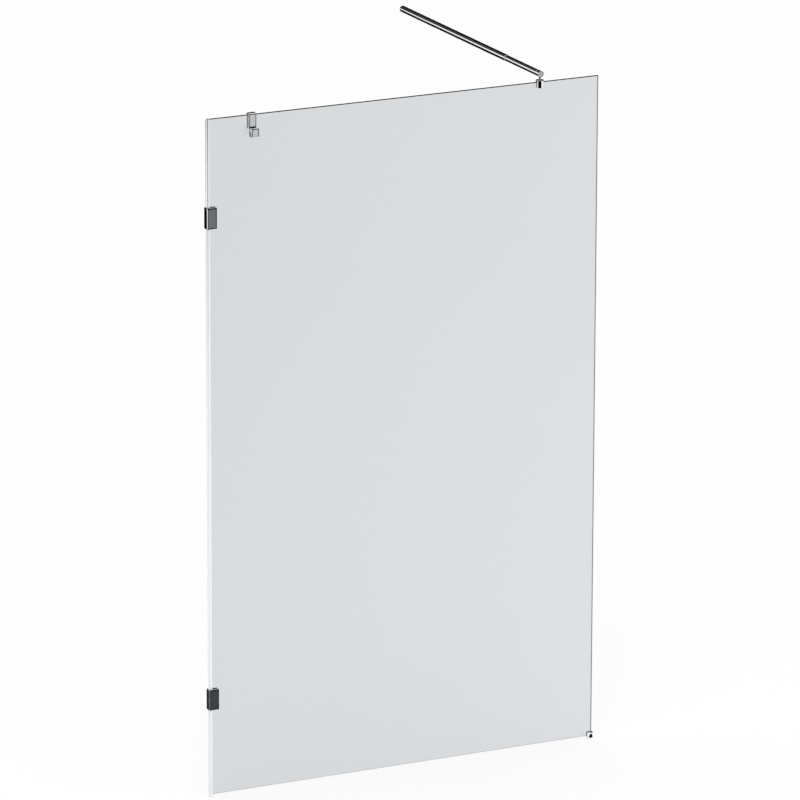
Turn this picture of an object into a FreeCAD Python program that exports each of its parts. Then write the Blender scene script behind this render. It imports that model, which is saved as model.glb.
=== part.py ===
# Fixed shower screen: a pane of toughened glass held by two wall clamps, a corner foot and a telescopic bar.
#
# The wall is the plane X = 0 and the pane stands on the plane Y = 0, running away from the wall along +X.
# The support bar leaves the top of the pane along +Y to a second wall, and +Z is up.
# The origin is the middle of the lower clamp's two wall holes. Lengths are in millimetres.
import FreeCAD, Part
import math
import operator
import os
import types

import Sketcher

SIZES = (
    ("glass_width", 1200, "pane, from the wall side to the free edge"),
    ("glass_height", 1950, "pane, bottom edge to top edge"),
    ("glass_thickness", 8, "pane"),
    ("glass_arris", 0.8, "ground bevel along the pane's edges"),
    ("glass_hole_radius", 6, "holes in the pane for the clamp screws"),
    ("edge_gap", 0.5, "between the pane's edge and a clamp's wall leaf"),
    ("floor_gap", 8, "under the pane"),
    ("press_gap", 0.05, "radial room of a piece that is pushed or screwed in for good"),
    ("seal_leg", 5, "wall seal, lip on each face of the pane"),
    ("seal_wall", 1.2, "wall seal, thickness of a lip"),
    ("seal_web", 1.5, "wall seal, thickness behind the pane's edge"),
    ("seal_bulb_wall", 0.8, "wall seal, wall of the hollow bulb"),
    ("seal_end_gap", 0.3, "wall seal, room left at a clamp"),
    ("clamp_inset", 280, "pane's end to the middle of the nearer clamp"),
    ("clamp_width", 30, "clamp, out from the wall"),
    ("clamp_height", 60, "clamp"),
    ("clamp_plate", 5, "clamp, thickness of the front plate and of the rear leaf"),
    ("clamp_leaf", 5, "clamp, thickness of the leaf on the wall"),
    ("clamp_bevel", 1.5, "clamp, bevel round the visible faces"),
    ("clamp_gasket", 1.5, "clamp, rubber on each side of the pane"),
    ("gasket_margin", 0.5, "clamp, how far the rubber stays inside the metal"),
    ("wall_hole_edge", 10, "clamp, wall hole to the clamp's end"),
    ("wall_hole_radius", 2.6, "clamp, wall hole"),
    ("wall_hole_sink", 2.2, "clamp, countersink of a wall hole"),
    ("clamp_screw_edge", 13, "clamp screw to the clamp's end"),
    ("clamp_screw_radius", 2.5, "clamp screw, shank"),
    ("clamp_screw_hole", 2.75, "clamp screw, clearance hole"),
    ("clamp_screw_sink", 2.2, "clamp screw, countersink in the rear leaf"),
    ("clamp_screw_recess", 0.2, "clamp screw, head below the rear leaf"),
    ("clamp_screw_tip", 0.5, "clamp screw, room past its end"),
    ("clamp_face_skin", 1.5, "front plate, metal left in front of a screw"),
    ("key_width", 3, "clamp screw, hexagon across its flats"),
    ("key_depth", 2, "hexagon socket of any screw"),
    ("hook_place", 138.5, "robe hook, wall to its middle"),
    ("hook_width", 22, "robe hook"),
    ("hook_strip", 3, "robe hook, thickness of the strip"),
    ("hook_liner", 2, "robe hook, rubber between strip and pane"),
    ("hook_liner_end", 3, "robe hook, rear leg beyond the rubber"),
    ("hook_back", 40, "robe hook, rear leg below the pane's top"),
    ("hook_drop", 62, "robe hook, underside below the pane's top"),
    ("hook_reach", 27, "robe hook, front of its tip from the pane's middle"),
    ("hook_tip", 27, "robe hook, height of its tip"),
    ("hook_bend", 1.5, "robe hook, inside radius of a bend"),
    ("hook_edge", 0.4, "robe hook, rounding of the strip's edges"),
    ("bar_inset", 182, "bar clamp to the pane's free edge"),
    ("bar_clamp_radius", 11.5, "bar clamp"),
    ("bar_clamp_grip", 17, "bar clamp, below the pane's top"),
    ("bar_clamp_cap", 5.5, "bar clamp, above the pane's top"),
    ("bar_clamp_edge", 0.8, "bar clamp, bevel of its rims"),
    ("bar_clamp_liner", 1, "bar clamp, lining of its slot"),
    ("liner_margin", 0.5, "how far a slot's lining stays inside the metal"),
    ("bar_grub_drop", 9, "bar clamp's grub screw below the pane's top"),
    ("bar_grub_radius", 2.5, "bar clamp's grub screw"),
    ("bar_grub_recess", 0.7, "bar clamp's grub screw below the surface"),
    ("pin_radius", 3, "swivel pin"),
    ("pin_collar_radius", 4.8, "swivel pin, collar on the bar clamp"),
    ("pin_collar", 1.5, "swivel pin, height of the collar"),
    ("pin_above_axis", 5, "swivel pin, its end above the bar's axis"),
    ("pin_groove", 0.5, "swivel pin, depth of the groove for the lock screw"),
    ("pin_gap", 0.05, "swivel pin, radial running room in the head"),
    ("bar_rise", 23, "bar's axis above the pane's top"),
    ("bar_reach", 880, "pane's middle to the far end of the bar"),
    ("head_half", 9.5, "bar head, from the pin's axis to each end"),
    ("head_round", 1.5, "bar head, rounding of its end"),
    ("head_spigot", 22, "bar head, length inside the inner tube"),
    ("lock_screw_radius", 2, "bar head's lock screw and the wall insert's grub screw"),
    ("lock_screw_room", 0.3, "lock screw, room in the pin's groove"),
    ("lock_screw_recess", 0.5, "lock screw, below the surface"),
    ("small_key_width", 2, "grub screws, hexagon across its flats"),
    ("inner_tube_radius", 8.6, "inner tube, outside"),
    ("inner_tube_wall", 1, "inner tube"),
    ("inner_tube_length", 575, "inner tube"),
    ("slide_gap", 0.15, "radial room between the two tubes"),
    ("outer_tube_wall", 0.75, "outer tube"),
    ("outer_tube_start", 204, "pane's middle to the mouth of the outer tube"),
    ("outer_tube_edge", 0.3, "outer tube, bevel of its mouth"),
    ("twist_spigot", 14, "twist lock, length inside the inner tube"),
    ("twist_flange", 2, "twist lock, flange at each end of the cam"),
    ("twist_journal", 12, "twist lock, length of the off-centre journal"),
    ("twist_journal_radius", 4.5, "twist lock, journal"),
    ("twist_offset", 0.6, "twist lock, how far the journal is off centre"),
    ("twist_cap_radius", 6.5, "twist lock, flange beyond the cam"),
    ("cam_gap", 0.1, "twist lock, released cam to the outer tube"),
    ("cam_slit", 1.5, "twist lock, slit of the cam ring"),
    ("insert_length", 32, "wall insert in the far end of the outer tube"),
    ("insert_bore", 3.25, "wall insert, radius of the bore for the wall stud"),
    ("insert_grub_place", 12, "wall insert's grub screw to the far end"),
    ("insert_grub_room", 0.4, "wall insert's grub screw to the bore"),
    ("foot_radius", 10.5, "foot"),
    ("foot_height", 18, "foot"),
    ("foot_inset", 5, "foot's middle to the pane's free edge"),
    ("foot_edge", 0.8, "foot, bevel of its rims"),
    ("foot_liner", 1, "foot, lining of its slot"),
    ("floor_hole_radius", 2.6, "foot, floor screw hole"),
    ("floor_hole_sink", 2, "foot, countersink of the floor screw hole"),
)

ARITHMETIC = {"+": operator.add, "-": operator.sub, "*": operator.mul, "/": operator.truediv}
PLANE_NORMAL = {"XY_Plane": 1, "XZ_Plane": -1, "YZ_Plane": 1}
SAME_PLACE = 1e-6
HEXAGON = [math.radians(60 * corner) for corner in range(6)]

doc = FreeCAD.newDocument("fixed_shower_screen")
sub_parts = []


class Size:
    """A length held as a number and as the sheet formula that gives it."""

    def __init__(self, value, formula):
        self.value = value
        self.formula = formula

    def __add__(self, other):
        return combine(self, "+", other)

    def __radd__(self, other):
        return combine(other, "+", self)

    def __sub__(self, other):
        return combine(self, "-", other)

    def __rsub__(self, other):
        return combine(other, "-", self)

    def __mul__(self, other):
        return combine(self, "*", other)

    def __rmul__(self, other):
        return combine(other, "*", self)

    def __truediv__(self, other):
        return combine(self, "/", other)

    def __neg__(self):
        return Size(-self.value, f"(-1 * {self.formula})")


def as_size(length):
    return length if isinstance(length, Size) else Size(length, repr(length))


def combine(left, sign, right):
    left = as_size(left)
    right = as_size(right)
    value = ARITHMETIC[sign](left.value, right.value)
    return Size(value, f"({left.formula} {sign} {right.formula})")


def other_leg(long_side, short_side):
    """The second leg of a right triangle, such as half a chord of a circle."""
    square = long_side * long_side - short_side * short_side
    return Size(math.sqrt(square.value), f"sqrt({square.formula})")


def fill_sheet():
    """Puts the driving sizes in the sheet and gives them back by name."""
    sheet = doc.addObject("Spreadsheet::Sheet", "Sizes")
    for row, (name, value, meaning) in enumerate(SIZES, start=1):
        sheet.set(f"A{row}", meaning)
        sheet.set(f"B{row}", str(value))
        sheet.setAlias(f"B{row}", name)
    doc.recompute()
    named = {name: Size(float(sheet.get(name)), f"Sizes.{name}") for name, _, _ in SIZES}
    return types.SimpleNamespace(**named)


d = fill_sheet()

# Places shared by several pieces
half_glass = d.glass_thickness / 2
glass_start = d.clamp_leaf + d.edge_gap
glass_end = glass_start + d.glass_width
glass_bottom = -d.clamp_inset
glass_top = d.glass_height - d.clamp_inset
floor = glass_bottom - d.floor_gap
upper_clamp_place = d.glass_height - 2 * d.clamp_inset
plate_inner = half_glass + d.clamp_gasket
plate_outer = plate_inner + d.clamp_plate
clamp_screw_x = (glass_start + d.clamp_width) / 2
clamp_screw_z = d.clamp_height / 2 - d.clamp_screw_edge
wall_hole_z = d.clamp_height / 2 - d.wall_hole_edge
bar_x = glass_end - d.bar_inset
bar_axis = glass_top + d.bar_rise
inner_tube_bore = d.inner_tube_radius - d.inner_tube_wall
inner_tube_end = d.head_half + d.inner_tube_length
outer_tube_bore = d.inner_tube_radius + d.slide_gap
outer_tube_radius = outer_tube_bore + d.outer_tube_wall


def bind(thing, path, size):
    thing.setExpression(path, as_size(size).formula)


def add_body(label, x=0, y=0, z=0, turn=None):
    """A sub-part whose own origin stands at x, y, z, turned as given."""
    body = doc.addObject("PartDesign::Body", label)
    body.Label = label
    body.Placement = FreeCAD.Placement(FreeCAD.Vector(), turn or FreeCAD.Rotation())
    for axis, place in zip("xyz", (x, y, z)):
        bind(body, f"Placement.Base.{axis}", place)
    sub_parts.append(body)
    return body


def origin_feature(body, role):
    return next(f for f in body.Origin.OriginFeatures if f.Role == role)


def add_sketch(body, plane, place=0):
    """A sketch on one of the body's planes, at the given place along the third axis."""
    sketch = body.newObject("Sketcher::SketchObject", f"{body.Label}_sketch")
    sketch.AttachmentSupport = [(origin_feature(body, plane), "")]
    sketch.MapMode = "FlatFace"
    bind(sketch, "AttachmentOffset.Base.z", PLANE_NORMAL[plane] * as_size(place))
    return sketch


def place_point(sketch, curve, point, x, y):
    """Ties a point of a sketched curve to its distances from the sketch's axes."""
    for kind, axis, size in (("DistanceX", -2, as_size(x)), ("DistanceY", -1, as_size(y))):
        if abs(size.value) < SAME_PLACE:
            sketch.addConstraint(Sketcher.Constraint("PointOnObject", curve, point, axis))
            continue
        index = sketch.addConstraint(Sketcher.Constraint(kind, -1, 1, curve, point, size.value))
        bind(sketch, f"Constraints[{index}]", size)


def draw_outline(sketch, corners):
    """A closed outline of straight sides."""
    points = [FreeCAD.Vector(as_size(x).value, as_size(y).value, 0) for x, y in corners]
    first = sketch.GeometryCount
    for start, stop in zip(points, points[1:] + points[:1]):
        sketch.addGeometry(Part.LineSegment(start, stop))
    for index, (x, y) in enumerate(corners):
        side = first + index
        next_side = first + (index + 1) % len(corners)
        sketch.addConstraint(Sketcher.Constraint("Coincident", side, 2, next_side, 1))
        place_point(sketch, side, 1, x, y)


def draw_box(sketch, left, right, low, high):
    draw_outline(sketch, [(left, low), (right, low), (right, high), (left, high)])


def draw_circle(sketch, radius, x=0, y=0):
    radius = as_size(radius)
    middle = FreeCAD.Vector(as_size(x).value, as_size(y).value, 0)
    circle = sketch.addGeometry(Part.Circle(middle, FreeCAD.Vector(0, 0, 1), radius.value))
    place_point(sketch, circle, 3, x, y)
    index = sketch.addConstraint(Sketcher.Constraint("Radius", circle, radius.value))
    bind(sketch, f"Constraints[{index}]", radius)


def draw_hexagon(sketch, across_flats):
    corner = across_flats / math.sqrt(3)
    draw_outline(sketch, [(corner * math.cos(turn), corner * math.sin(turn)) for turn in HEXAGON])


def plane_normal(sketch):
    return PLANE_NORMAL[sketch.AttachmentSupport[0][0].Role]


def add_pad(body, sketch, length, toward=0):
    """Thickens a sketch along the third axis: toward is +1, -1, or 0 for half on each side."""
    pad = body.newObject("PartDesign::Pad", f"{body.Label}_pad")
    pad.Profile = sketch
    pad.SideType = "One side" if toward else "Symmetric"
    pad.Reversed = bool(toward) and toward != plane_normal(sketch)
    bind(pad, "Length", length)
    doc.recompute()
    return pad


def add_pocket(body, sketch, depth=None, toward=0):
    """Cuts a sketch out along the third axis, to a depth or right through."""
    before = body.Tip.Shape.Volume
    pocket = body.newObject("PartDesign::Pocket", f"{body.Label}_pocket")
    pocket.Profile = sketch
    pocket.SideType = "One side" if toward else "Symmetric"
    pocket.Reversed = bool(toward) and toward == plane_normal(sketch)
    if depth is None:
        pocket.Type = "ThroughAll"
    else:
        bind(pocket, "Length", depth)
    doc.recompute()
    if pocket.Shape.Volume >= before - SAME_PLACE:
        raise RuntimeError(f"a cut in {body.Label} removes nothing")
    return pocket


def add_revolution(body, sketch):
    """Turns a profile round the sketch's own upright axis."""
    turned = body.newObject("PartDesign::Revolution", f"{body.Label}_turned")
    turned.Profile = sketch
    turned.ReferenceAxis = (sketch, ["V_Axis"])
    turned.Angle = 360
    doc.recompute()
    return turned


def dress_edges(body, kind, size, chosen):
    """Bevels (Chamfer) or rounds (Fillet) the chosen edges of a body."""
    base = body.Tip
    names = [f"Edge{n}" for n, edge in enumerate(base.Shape.Edges, start=1) if chosen(edge)]
    if not names:
        raise RuntimeError(f"no edge to dress on {body.Label}")
    dressed = body.newObject(f"PartDesign::{kind}", f"{body.Label}_edges")
    dressed.Base = (base, names)
    bind(dressed, "Size" if kind == "Chamfer" else "Radius", size)
    doc.recompute()


def middle_of(edge):
    return edge.valueAt((edge.FirstParameter + edge.LastParameter) / 2)


def lies_at(edge, axis, place):
    """Whether the whole edge keeps to one place along X (0), Y (1) or Z (2)."""
    points = [vertex.Point for vertex in edge.Vertexes] + [middle_of(edge)]
    return all(abs(point[axis] - as_size(place).value) < SAME_PLACE for point in points)


def is_straight(edge):
    return isinstance(edge.Curve, Part.Line)


def is_round(edge, radius):
    return isinstance(edge.Curve, Part.Circle) and abs(edge.Curve.Radius - radius.value) < SAME_PLACE


def make_glass_panel():
    """The pane, with two holes at each clamp and a ground bevel along its edges."""
    body = add_body("glass_panel")
    pane = add_sketch(body, "XZ_Plane")
    draw_box(pane, glass_start, glass_end, glass_bottom, glass_top)
    add_pad(body, pane, d.glass_thickness)
    holes = add_sketch(body, "XZ_Plane")
    for clamp in (as_size(0), upper_clamp_place):
        for side in (-1, 1):
            draw_circle(holes, d.glass_hole_radius, clamp_screw_x, clamp + side * clamp_screw_z)
    add_pocket(body, holes)

    def is_rim(edge):
        return is_straight(edge) and (lies_at(edge, 1, half_glass) or lies_at(edge, 1, -half_glass))

    dress_edges(body, "Chamfer", d.glass_arris, is_rim)


def make_wall_seal(label, low, high):
    """A length of clear strip: a channel over the pane's edge and a hollow bulb against the wall."""
    body = add_body(label, z=low)
    length = high - low
    lip = half_glass + d.seal_wall
    tip = glass_start + d.seal_leg
    back = glass_start - d.seal_web
    bulb = (glass_start - d.seal_web / 2) / 2
    channel = add_sketch(body, "XY_Plane")
    draw_outline(channel, [
        (back, -lip), (tip, -lip), (tip, -half_glass), (glass_start, -half_glass),
        (glass_start, half_glass), (tip, half_glass), (tip, lip), (back, lip),
    ])
    add_pad(body, channel, length, toward=1)
    tube = add_sketch(body, "XY_Plane")
    draw_circle(tube, bulb, bulb)
    add_pad(body, tube, length, toward=1)
    hollow = add_sketch(body, "XY_Plane")
    draw_circle(hollow, bulb - d.seal_bulb_wall, bulb)
    add_pocket(body, hollow)


def make_wall_seals():
    reach = d.clamp_height / 2 + d.seal_end_gap
    make_wall_seal("wall_seal_lower", floor, -reach)
    make_wall_seal("wall_seal_middle", reach, upper_clamp_place - reach)
    make_wall_seal("wall_seal_upper", upper_clamp_place + reach, glass_top)


def draw_clamp_screw_circles(sketch, radius):
    for side in (-1, 1):
        draw_circle(sketch, radius, clamp_screw_x, side * clamp_screw_z)


def make_clamp_bracket(label, place):
    """The angle that is screwed to the wall: a leaf on the wall and a leaf behind the pane."""
    body = add_body(label, z=place)
    angle = add_sketch(body, "XY_Plane")
    draw_outline(angle, [
        (0, -plate_inner), (d.clamp_leaf, -plate_inner), (d.clamp_leaf, plate_inner),
        (d.clamp_width, plate_inner), (d.clamp_width, plate_outer), (0, plate_outer),
    ])
    add_pad(body, angle, d.clamp_height)
    wall_holes = add_sketch(body, "YZ_Plane")
    for side in (-1, 1):
        draw_circle(wall_holes, d.wall_hole_radius, 0, side * wall_hole_z)
    add_pocket(body, wall_holes, d.clamp_leaf, toward=1)
    screw_holes = add_sketch(body, "XZ_Plane", plate_inner)
    draw_clamp_screw_circles(screw_holes, d.clamp_screw_hole)
    add_pocket(body, screw_holes, d.clamp_plate, toward=1)

    def is_wall_sink(edge):
        return is_round(edge, d.wall_hole_radius) and lies_at(edge, 0, d.clamp_leaf)

    def is_screw_sink(edge):
        return is_round(edge, d.clamp_screw_hole) and lies_at(edge, 1, plate_outer)

    def is_rear_rim(edge):
        return is_straight(edge) and lies_at(edge, 1, plate_outer) and not lies_at(edge, 0, 0)

    dress_edges(body, "Chamfer", d.wall_hole_sink, is_wall_sink)
    dress_edges(body, "Chamfer", d.clamp_screw_sink, is_screw_sink)
    dress_edges(body, "Chamfer", d.clamp_bevel, is_rear_rim)


def make_clamp_front_plate(label, place):
    """The bevelled plate in front of the pane, tapped from behind so that its face stays clean."""
    body = add_body(label, z=place)
    half_height = d.clamp_height / 2
    face = add_sketch(body, "XZ_Plane", -plate_inner)
    draw_box(face, 0, d.clamp_width, -half_height, half_height)
    add_pad(body, face, d.clamp_plate, toward=-1)
    taps = add_sketch(body, "XZ_Plane", -plate_inner)
    draw_clamp_screw_circles(taps, d.clamp_screw_radius + d.press_gap)
    add_pocket(body, taps, d.clamp_plate - d.clamp_face_skin, toward=-1)
    dress_edges(body, "Chamfer", d.clamp_bevel, lambda edge: lies_at(edge, 1, -plate_outer))


def make_clamp_gasket(label, place, side):
    """A sheet of rubber between the pane and the metal, in front (-1) or behind (+1)."""
    body = add_body(label, z=place)
    half_height = d.clamp_height / 2 - d.gasket_margin
    sheet = add_sketch(body, "XZ_Plane", side * half_glass)
    draw_box(sheet, glass_start + d.gasket_margin, d.clamp_width - d.gasket_margin, -half_height, half_height)
    draw_clamp_screw_circles(sheet, d.clamp_screw_hole)
    add_pad(body, sheet, d.clamp_gasket, toward=side)


def make_clamp_bushes(label, place):
    """Two plastic rings that keep the screws off the glass."""
    body = add_body(label, z=place)
    rings = add_sketch(body, "XZ_Plane")
    draw_clamp_screw_circles(rings, d.glass_hole_radius - d.press_gap)
    draw_clamp_screw_circles(rings, d.clamp_screw_hole)
    add_pad(body, rings, d.glass_thickness)


def make_clamp_screws(label, place):
    """Two countersunk screws, from the rear leaf through the pane into the front plate."""
    body = add_body(label, x=clamp_screw_x, z=place - clamp_screw_z)
    top = plate_outer - d.clamp_screw_recess
    end = d.clamp_face_skin + d.clamp_screw_tip - plate_outer
    head = d.clamp_screw_hole + d.clamp_screw_sink - d.clamp_screw_recess - d.press_gap
    cone = head - d.clamp_screw_radius
    profile = add_sketch(body, "XY_Plane")
    draw_outline(profile, [
        (0, end), (d.clamp_screw_radius, end), (d.clamp_screw_radius, top - cone), (head, top), (0, top),
    ])
    screw = add_revolution(body, profile)
    key = add_sketch(body, "XZ_Plane", top)
    draw_hexagon(key, d.key_width)
    socket = add_pocket(body, key, d.key_depth, toward=-1)
    pair = body.newObject("PartDesign::LinearPattern", f"{label}_pair")
    pair.Originals = [screw, socket]
    pair.Direction = (origin_feature(body, "Z_Axis"), [""])
    bind(pair, "Length", 2 * clamp_screw_z)
    pair.Occurrences = 2
    body.Tip = pair
    doc.recompute()


def make_wall_clamp(name, place):
    make_clamp_bracket(f"{name}_clamp_bracket", place)
    make_clamp_front_plate(f"{name}_clamp_front_plate", place)
    make_clamp_gasket(f"{name}_clamp_front_gasket", place, -1)
    make_clamp_gasket(f"{name}_clamp_rear_gasket", place, 1)
    make_clamp_bushes(f"{name}_clamp_bushes", place)
    make_clamp_screws(f"{name}_clamp_screws", place)


def make_robe_hook():
    """A bent strip that hangs over the pane's top edge, with an upturned tip in front."""
    body = add_body("robe_hook", x=d.hook_place, z=glass_top)
    inner = half_glass + d.hook_liner
    outer = inner + d.hook_strip
    top_inner = d.hook_liner
    top_outer = top_inner + d.hook_strip
    ledge = d.hook_strip - d.hook_drop
    tip_inner = d.hook_strip - d.hook_reach
    tip_top = d.hook_tip - d.hook_drop
    strip = add_sketch(body, "YZ_Plane")
    draw_outline(strip, [
        (inner, -d.hook_back), (outer, -d.hook_back), (outer, top_outer), (-outer, top_outer),
        (-outer, ledge), (tip_inner, ledge), (tip_inner, tip_top), (-d.hook_reach, tip_top),
        (-d.hook_reach, -d.hook_drop), (-inner, -d.hook_drop), (-inner, top_inner), (inner, top_inner),
    ])
    add_pad(body, strip, d.hook_width)
    inside = [(-outer, ledge), (tip_inner, ledge), (-inner, top_inner), (inner, top_inner)]
    outside = [(outer, top_outer), (-outer, top_outer), (-d.hook_reach, -d.hook_drop), (-inner, -d.hook_drop)]
    for radius, corners in ((d.hook_bend, inside), (d.hook_bend + d.hook_strip, outside)):
        dress_edges(body, "Fillet", radius, lambda edge: any(
            lies_at(edge, 1, y) and lies_at(edge, 2, z) for y, z in corners))
    half_width = d.hook_width / 2
    dress_edges(body, "Fillet", d.hook_edge, lambda edge: (
        lies_at(edge, 0, half_width) or lies_at(edge, 0, -half_width)))


def make_hook_liner():
    """The rubber channel between the robe hook and the pane."""
    body = add_body("robe_hook_liner", x=d.hook_place, z=glass_top)
    inner = half_glass + d.hook_liner
    low = d.hook_liner_end - d.hook_back
    channel = add_sketch(body, "YZ_Plane")
    draw_outline(channel, [
        (-inner, low), (-half_glass, low), (-half_glass, 0), (half_glass, 0),
        (half_glass, low), (inner, low), (inner, d.hook_liner), (-inner, d.hook_liner),
    ])
    add_pad(body, channel, d.hook_width - 2 * d.liner_margin)
    dress_edges(body, "Fillet", d.hook_bend, lambda edge: (
        lies_at(edge, 2, d.hook_liner) and (lies_at(edge, 1, inner) or lies_at(edge, 1, -inner))))


def make_bar_clamp():
    """A round block, slotted over the pane's top edge, that carries the swivel pin."""
    body = add_body("bar_clamp_body", x=bar_x, z=glass_top)
    slot_side = half_glass + d.bar_clamp_liner
    block = add_sketch(body, "XY_Plane", -d.bar_clamp_grip)
    draw_circle(block, d.bar_clamp_radius)
    add_pad(body, block, d.bar_clamp_grip + d.bar_clamp_cap, toward=1)
    dress_edges(body, "Chamfer", d.bar_clamp_edge, lambda edge: (
        lies_at(edge, 2, d.bar_clamp_cap) or lies_at(edge, 2, -d.bar_clamp_grip)))
    slot = add_sketch(body, "YZ_Plane")
    draw_box(slot, -slot_side, slot_side, -d.bar_clamp_grip, d.bar_clamp_liner)
    add_pocket(body, slot)
    pin_hole = add_sketch(body, "XY_Plane")
    draw_circle(pin_hole, d.pin_radius + d.press_gap)
    add_pocket(body, pin_hole)
    grub_hole = add_sketch(body, "XZ_Plane")
    draw_circle(grub_hole, d.bar_grub_radius + d.press_gap, 0, -d.bar_grub_drop)
    add_pocket(body, grub_hole, toward=1)


def make_bar_clamp_liner():
    """The soft channel between the bar clamp and the pane."""
    body = add_body("bar_clamp_liner", x=bar_x, z=glass_top)
    slot_side = half_glass + d.bar_clamp_liner
    low = d.liner_margin - d.bar_clamp_grip
    half_length = other_leg(d.bar_clamp_radius, slot_side) - d.liner_margin
    channel = add_sketch(body, "YZ_Plane")
    draw_outline(channel, [
        (-slot_side, low), (-half_glass, low), (-half_glass, 0), (half_glass, 0),
        (half_glass, low), (slot_side, low), (slot_side, d.bar_clamp_liner), (-slot_side, d.bar_clamp_liner),
    ])
    add_pad(body, channel, 2 * half_length)


def make_grub_screw(label, radius, length, place, turn):
    """A headless screw whose tip is at its place and which points back along its own -Z."""
    body = add_body(label, *place, turn=turn)
    stud = add_sketch(body, "XY_Plane")
    draw_circle(stud, radius)
    add_pad(body, stud, length, toward=1)
    key = add_sketch(body, "XY_Plane", length)
    draw_hexagon(key, d.small_key_width)
    add_pocket(body, key, d.key_depth, toward=-1)


def make_bar_clamp_grub_screw():
    """Presses the pane against the front jaw, from behind."""
    tip = half_glass + d.bar_clamp_liner
    length = d.bar_clamp_radius - d.bar_grub_recess - tip
    toward_back = FreeCAD.Rotation(FreeCAD.Vector(1, 0, 0), -90)
    place = (bar_x, tip, glass_top - d.bar_grub_drop)
    make_grub_screw("bar_clamp_grub_screw", d.bar_grub_radius, length, place, toward_back)


def make_swivel_pin():
    """The upright pin that the bar turns on, with a collar below and a groove for the lock screw."""
    body = add_body("swivel_pin", x=bar_x, z=glass_top)
    collar_top = d.bar_clamp_cap + d.pin_collar
    groove = d.pin_radius - d.pin_groove
    half_groove = d.lock_screw_radius + d.lock_screw_room
    top = d.bar_rise + d.pin_above_axis
    profile = add_sketch(body, "XZ_Plane")
    draw_outline(profile, [
        (0, d.bar_clamp_liner), (d.pin_radius, d.bar_clamp_liner), (d.pin_radius, d.bar_clamp_cap),
        (d.pin_collar_radius, d.bar_clamp_cap), (d.pin_collar_radius, collar_top), (d.pin_radius, collar_top),
        (d.pin_radius, d.bar_rise - half_groove), (groove, d.bar_rise - half_groove),
        (groove, d.bar_rise + half_groove), (d.pin_radius, d.bar_rise + half_groove),
        (d.pin_radius, top), (0, top),
    ])
    add_revolution(body, profile)


def make_bar_head():
    """The end of the bar: bored for the pin from below, with a spigot in the inner tube."""
    body = add_body("bar_head", x=bar_x, z=bar_axis)
    spigot = inner_tube_bore - d.press_gap
    spigot_end = d.head_half + d.head_spigot
    profile = add_sketch(body, "XY_Plane")
    draw_outline(profile, [
        (0, -d.head_half), (d.inner_tube_radius, -d.head_half), (d.inner_tube_radius, d.head_half),
        (spigot, d.head_half), (spigot, spigot_end), (0, spigot_end),
    ])
    add_revolution(body, profile)
    dress_edges(body, "Fillet", d.head_round, lambda edge: lies_at(edge, 1, -d.head_half))
    pin_bore = add_sketch(body, "XY_Plane", d.pin_above_axis + d.press_gap)
    draw_circle(pin_bore, d.pin_radius + d.pin_gap)
    add_pocket(body, pin_bore, toward=-1)
    screw_hole = add_sketch(body, "YZ_Plane")
    draw_circle(screw_hole, d.lock_screw_radius + d.press_gap)
    add_pocket(body, screw_hole, toward=1)


def make_bar_head_lock_screw():
    """Sits in the head, with its tip in the pin's groove, so that the bar turns but can't lift off."""
    tip = d.pin_radius - d.pin_groove + d.lock_screw_room
    length = d.inner_tube_radius - d.lock_screw_recess - tip
    sideways = FreeCAD.Rotation(FreeCAD.Vector(0, 1, 0), 90)
    place = (bar_x + tip, 0, bar_axis)
    make_grub_screw("bar_head_lock_screw", d.lock_screw_radius, length, place, sideways)


def make_tube(label, radius, bore, start, stop):
    body = add_body(label, x=bar_x, z=bar_axis)
    ring = add_sketch(body, "XZ_Plane", start)
    draw_circle(ring, radius)
    draw_circle(ring, bore)
    add_pad(body, ring, stop - start, toward=1)
    return body


def make_bar_tubes():
    make_tube("bar_inner_tube", d.inner_tube_radius, inner_tube_bore, d.head_half, inner_tube_end)
    outer = make_tube("bar_outer_tube", outer_tube_radius, outer_tube_bore, d.outer_tube_start, d.bar_reach)
    dress_edges(outer, "Chamfer", d.outer_tube_edge, lambda edge: (
        is_round(edge, outer_tube_radius) and lies_at(edge, 1, d.outer_tube_start)))
    grub_hole = add_sketch(outer, "XY_Plane")
    draw_circle(grub_hole, d.lock_screw_radius + d.press_gap, 0, d.bar_reach - d.insert_grub_place)
    add_pocket(outer, grub_hole, toward=-1)


def make_twist_lock_plug():
    """The plug in the inner tube's end, with an off-centre journal for the cam ring."""
    body = add_body("twist_lock_plug", x=bar_x, z=bar_axis)
    spigot = inner_tube_bore - d.press_gap
    journal_start = inner_tube_end + d.twist_flange
    journal_end = journal_start + d.twist_journal
    profile = add_sketch(body, "XY_Plane")
    draw_outline(profile, [
        (0, inner_tube_end - d.twist_spigot), (spigot, inner_tube_end - d.twist_spigot),
        (spigot, inner_tube_end), (d.inner_tube_radius, inner_tube_end),
        (d.inner_tube_radius, journal_start), (0, journal_start),
    ])
    add_revolution(body, profile)
    journal = add_sketch(body, "XZ_Plane", journal_start)
    draw_circle(journal, d.twist_journal_radius, 0, d.twist_offset)
    add_pad(body, journal, d.twist_journal, toward=1)
    cap = add_sketch(body, "XZ_Plane", journal_end)
    draw_circle(cap, d.twist_cap_radius)
    add_pad(body, cap, d.twist_flange, toward=1)


def make_twist_lock_cam():
    """A slit ring on the plug's journal, which jams in the outer tube when the bar is twisted."""
    body = add_body("twist_lock_cam", x=bar_x, z=bar_axis)
    cam_radius = outer_tube_bore - d.cam_gap
    ring = add_sketch(body, "XZ_Plane", inner_tube_end + d.twist_flange + d.press_gap)
    draw_circle(ring, cam_radius)
    draw_circle(ring, d.twist_journal_radius + d.press_gap, 0, d.twist_offset)
    add_pad(body, ring, d.twist_journal - 2 * d.press_gap, toward=1)
    slit = add_sketch(body, "XZ_Plane")
    draw_box(slit, -d.cam_slit / 2, d.cam_slit / 2, -cam_radius, 0)
    add_pocket(body, slit)


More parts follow.
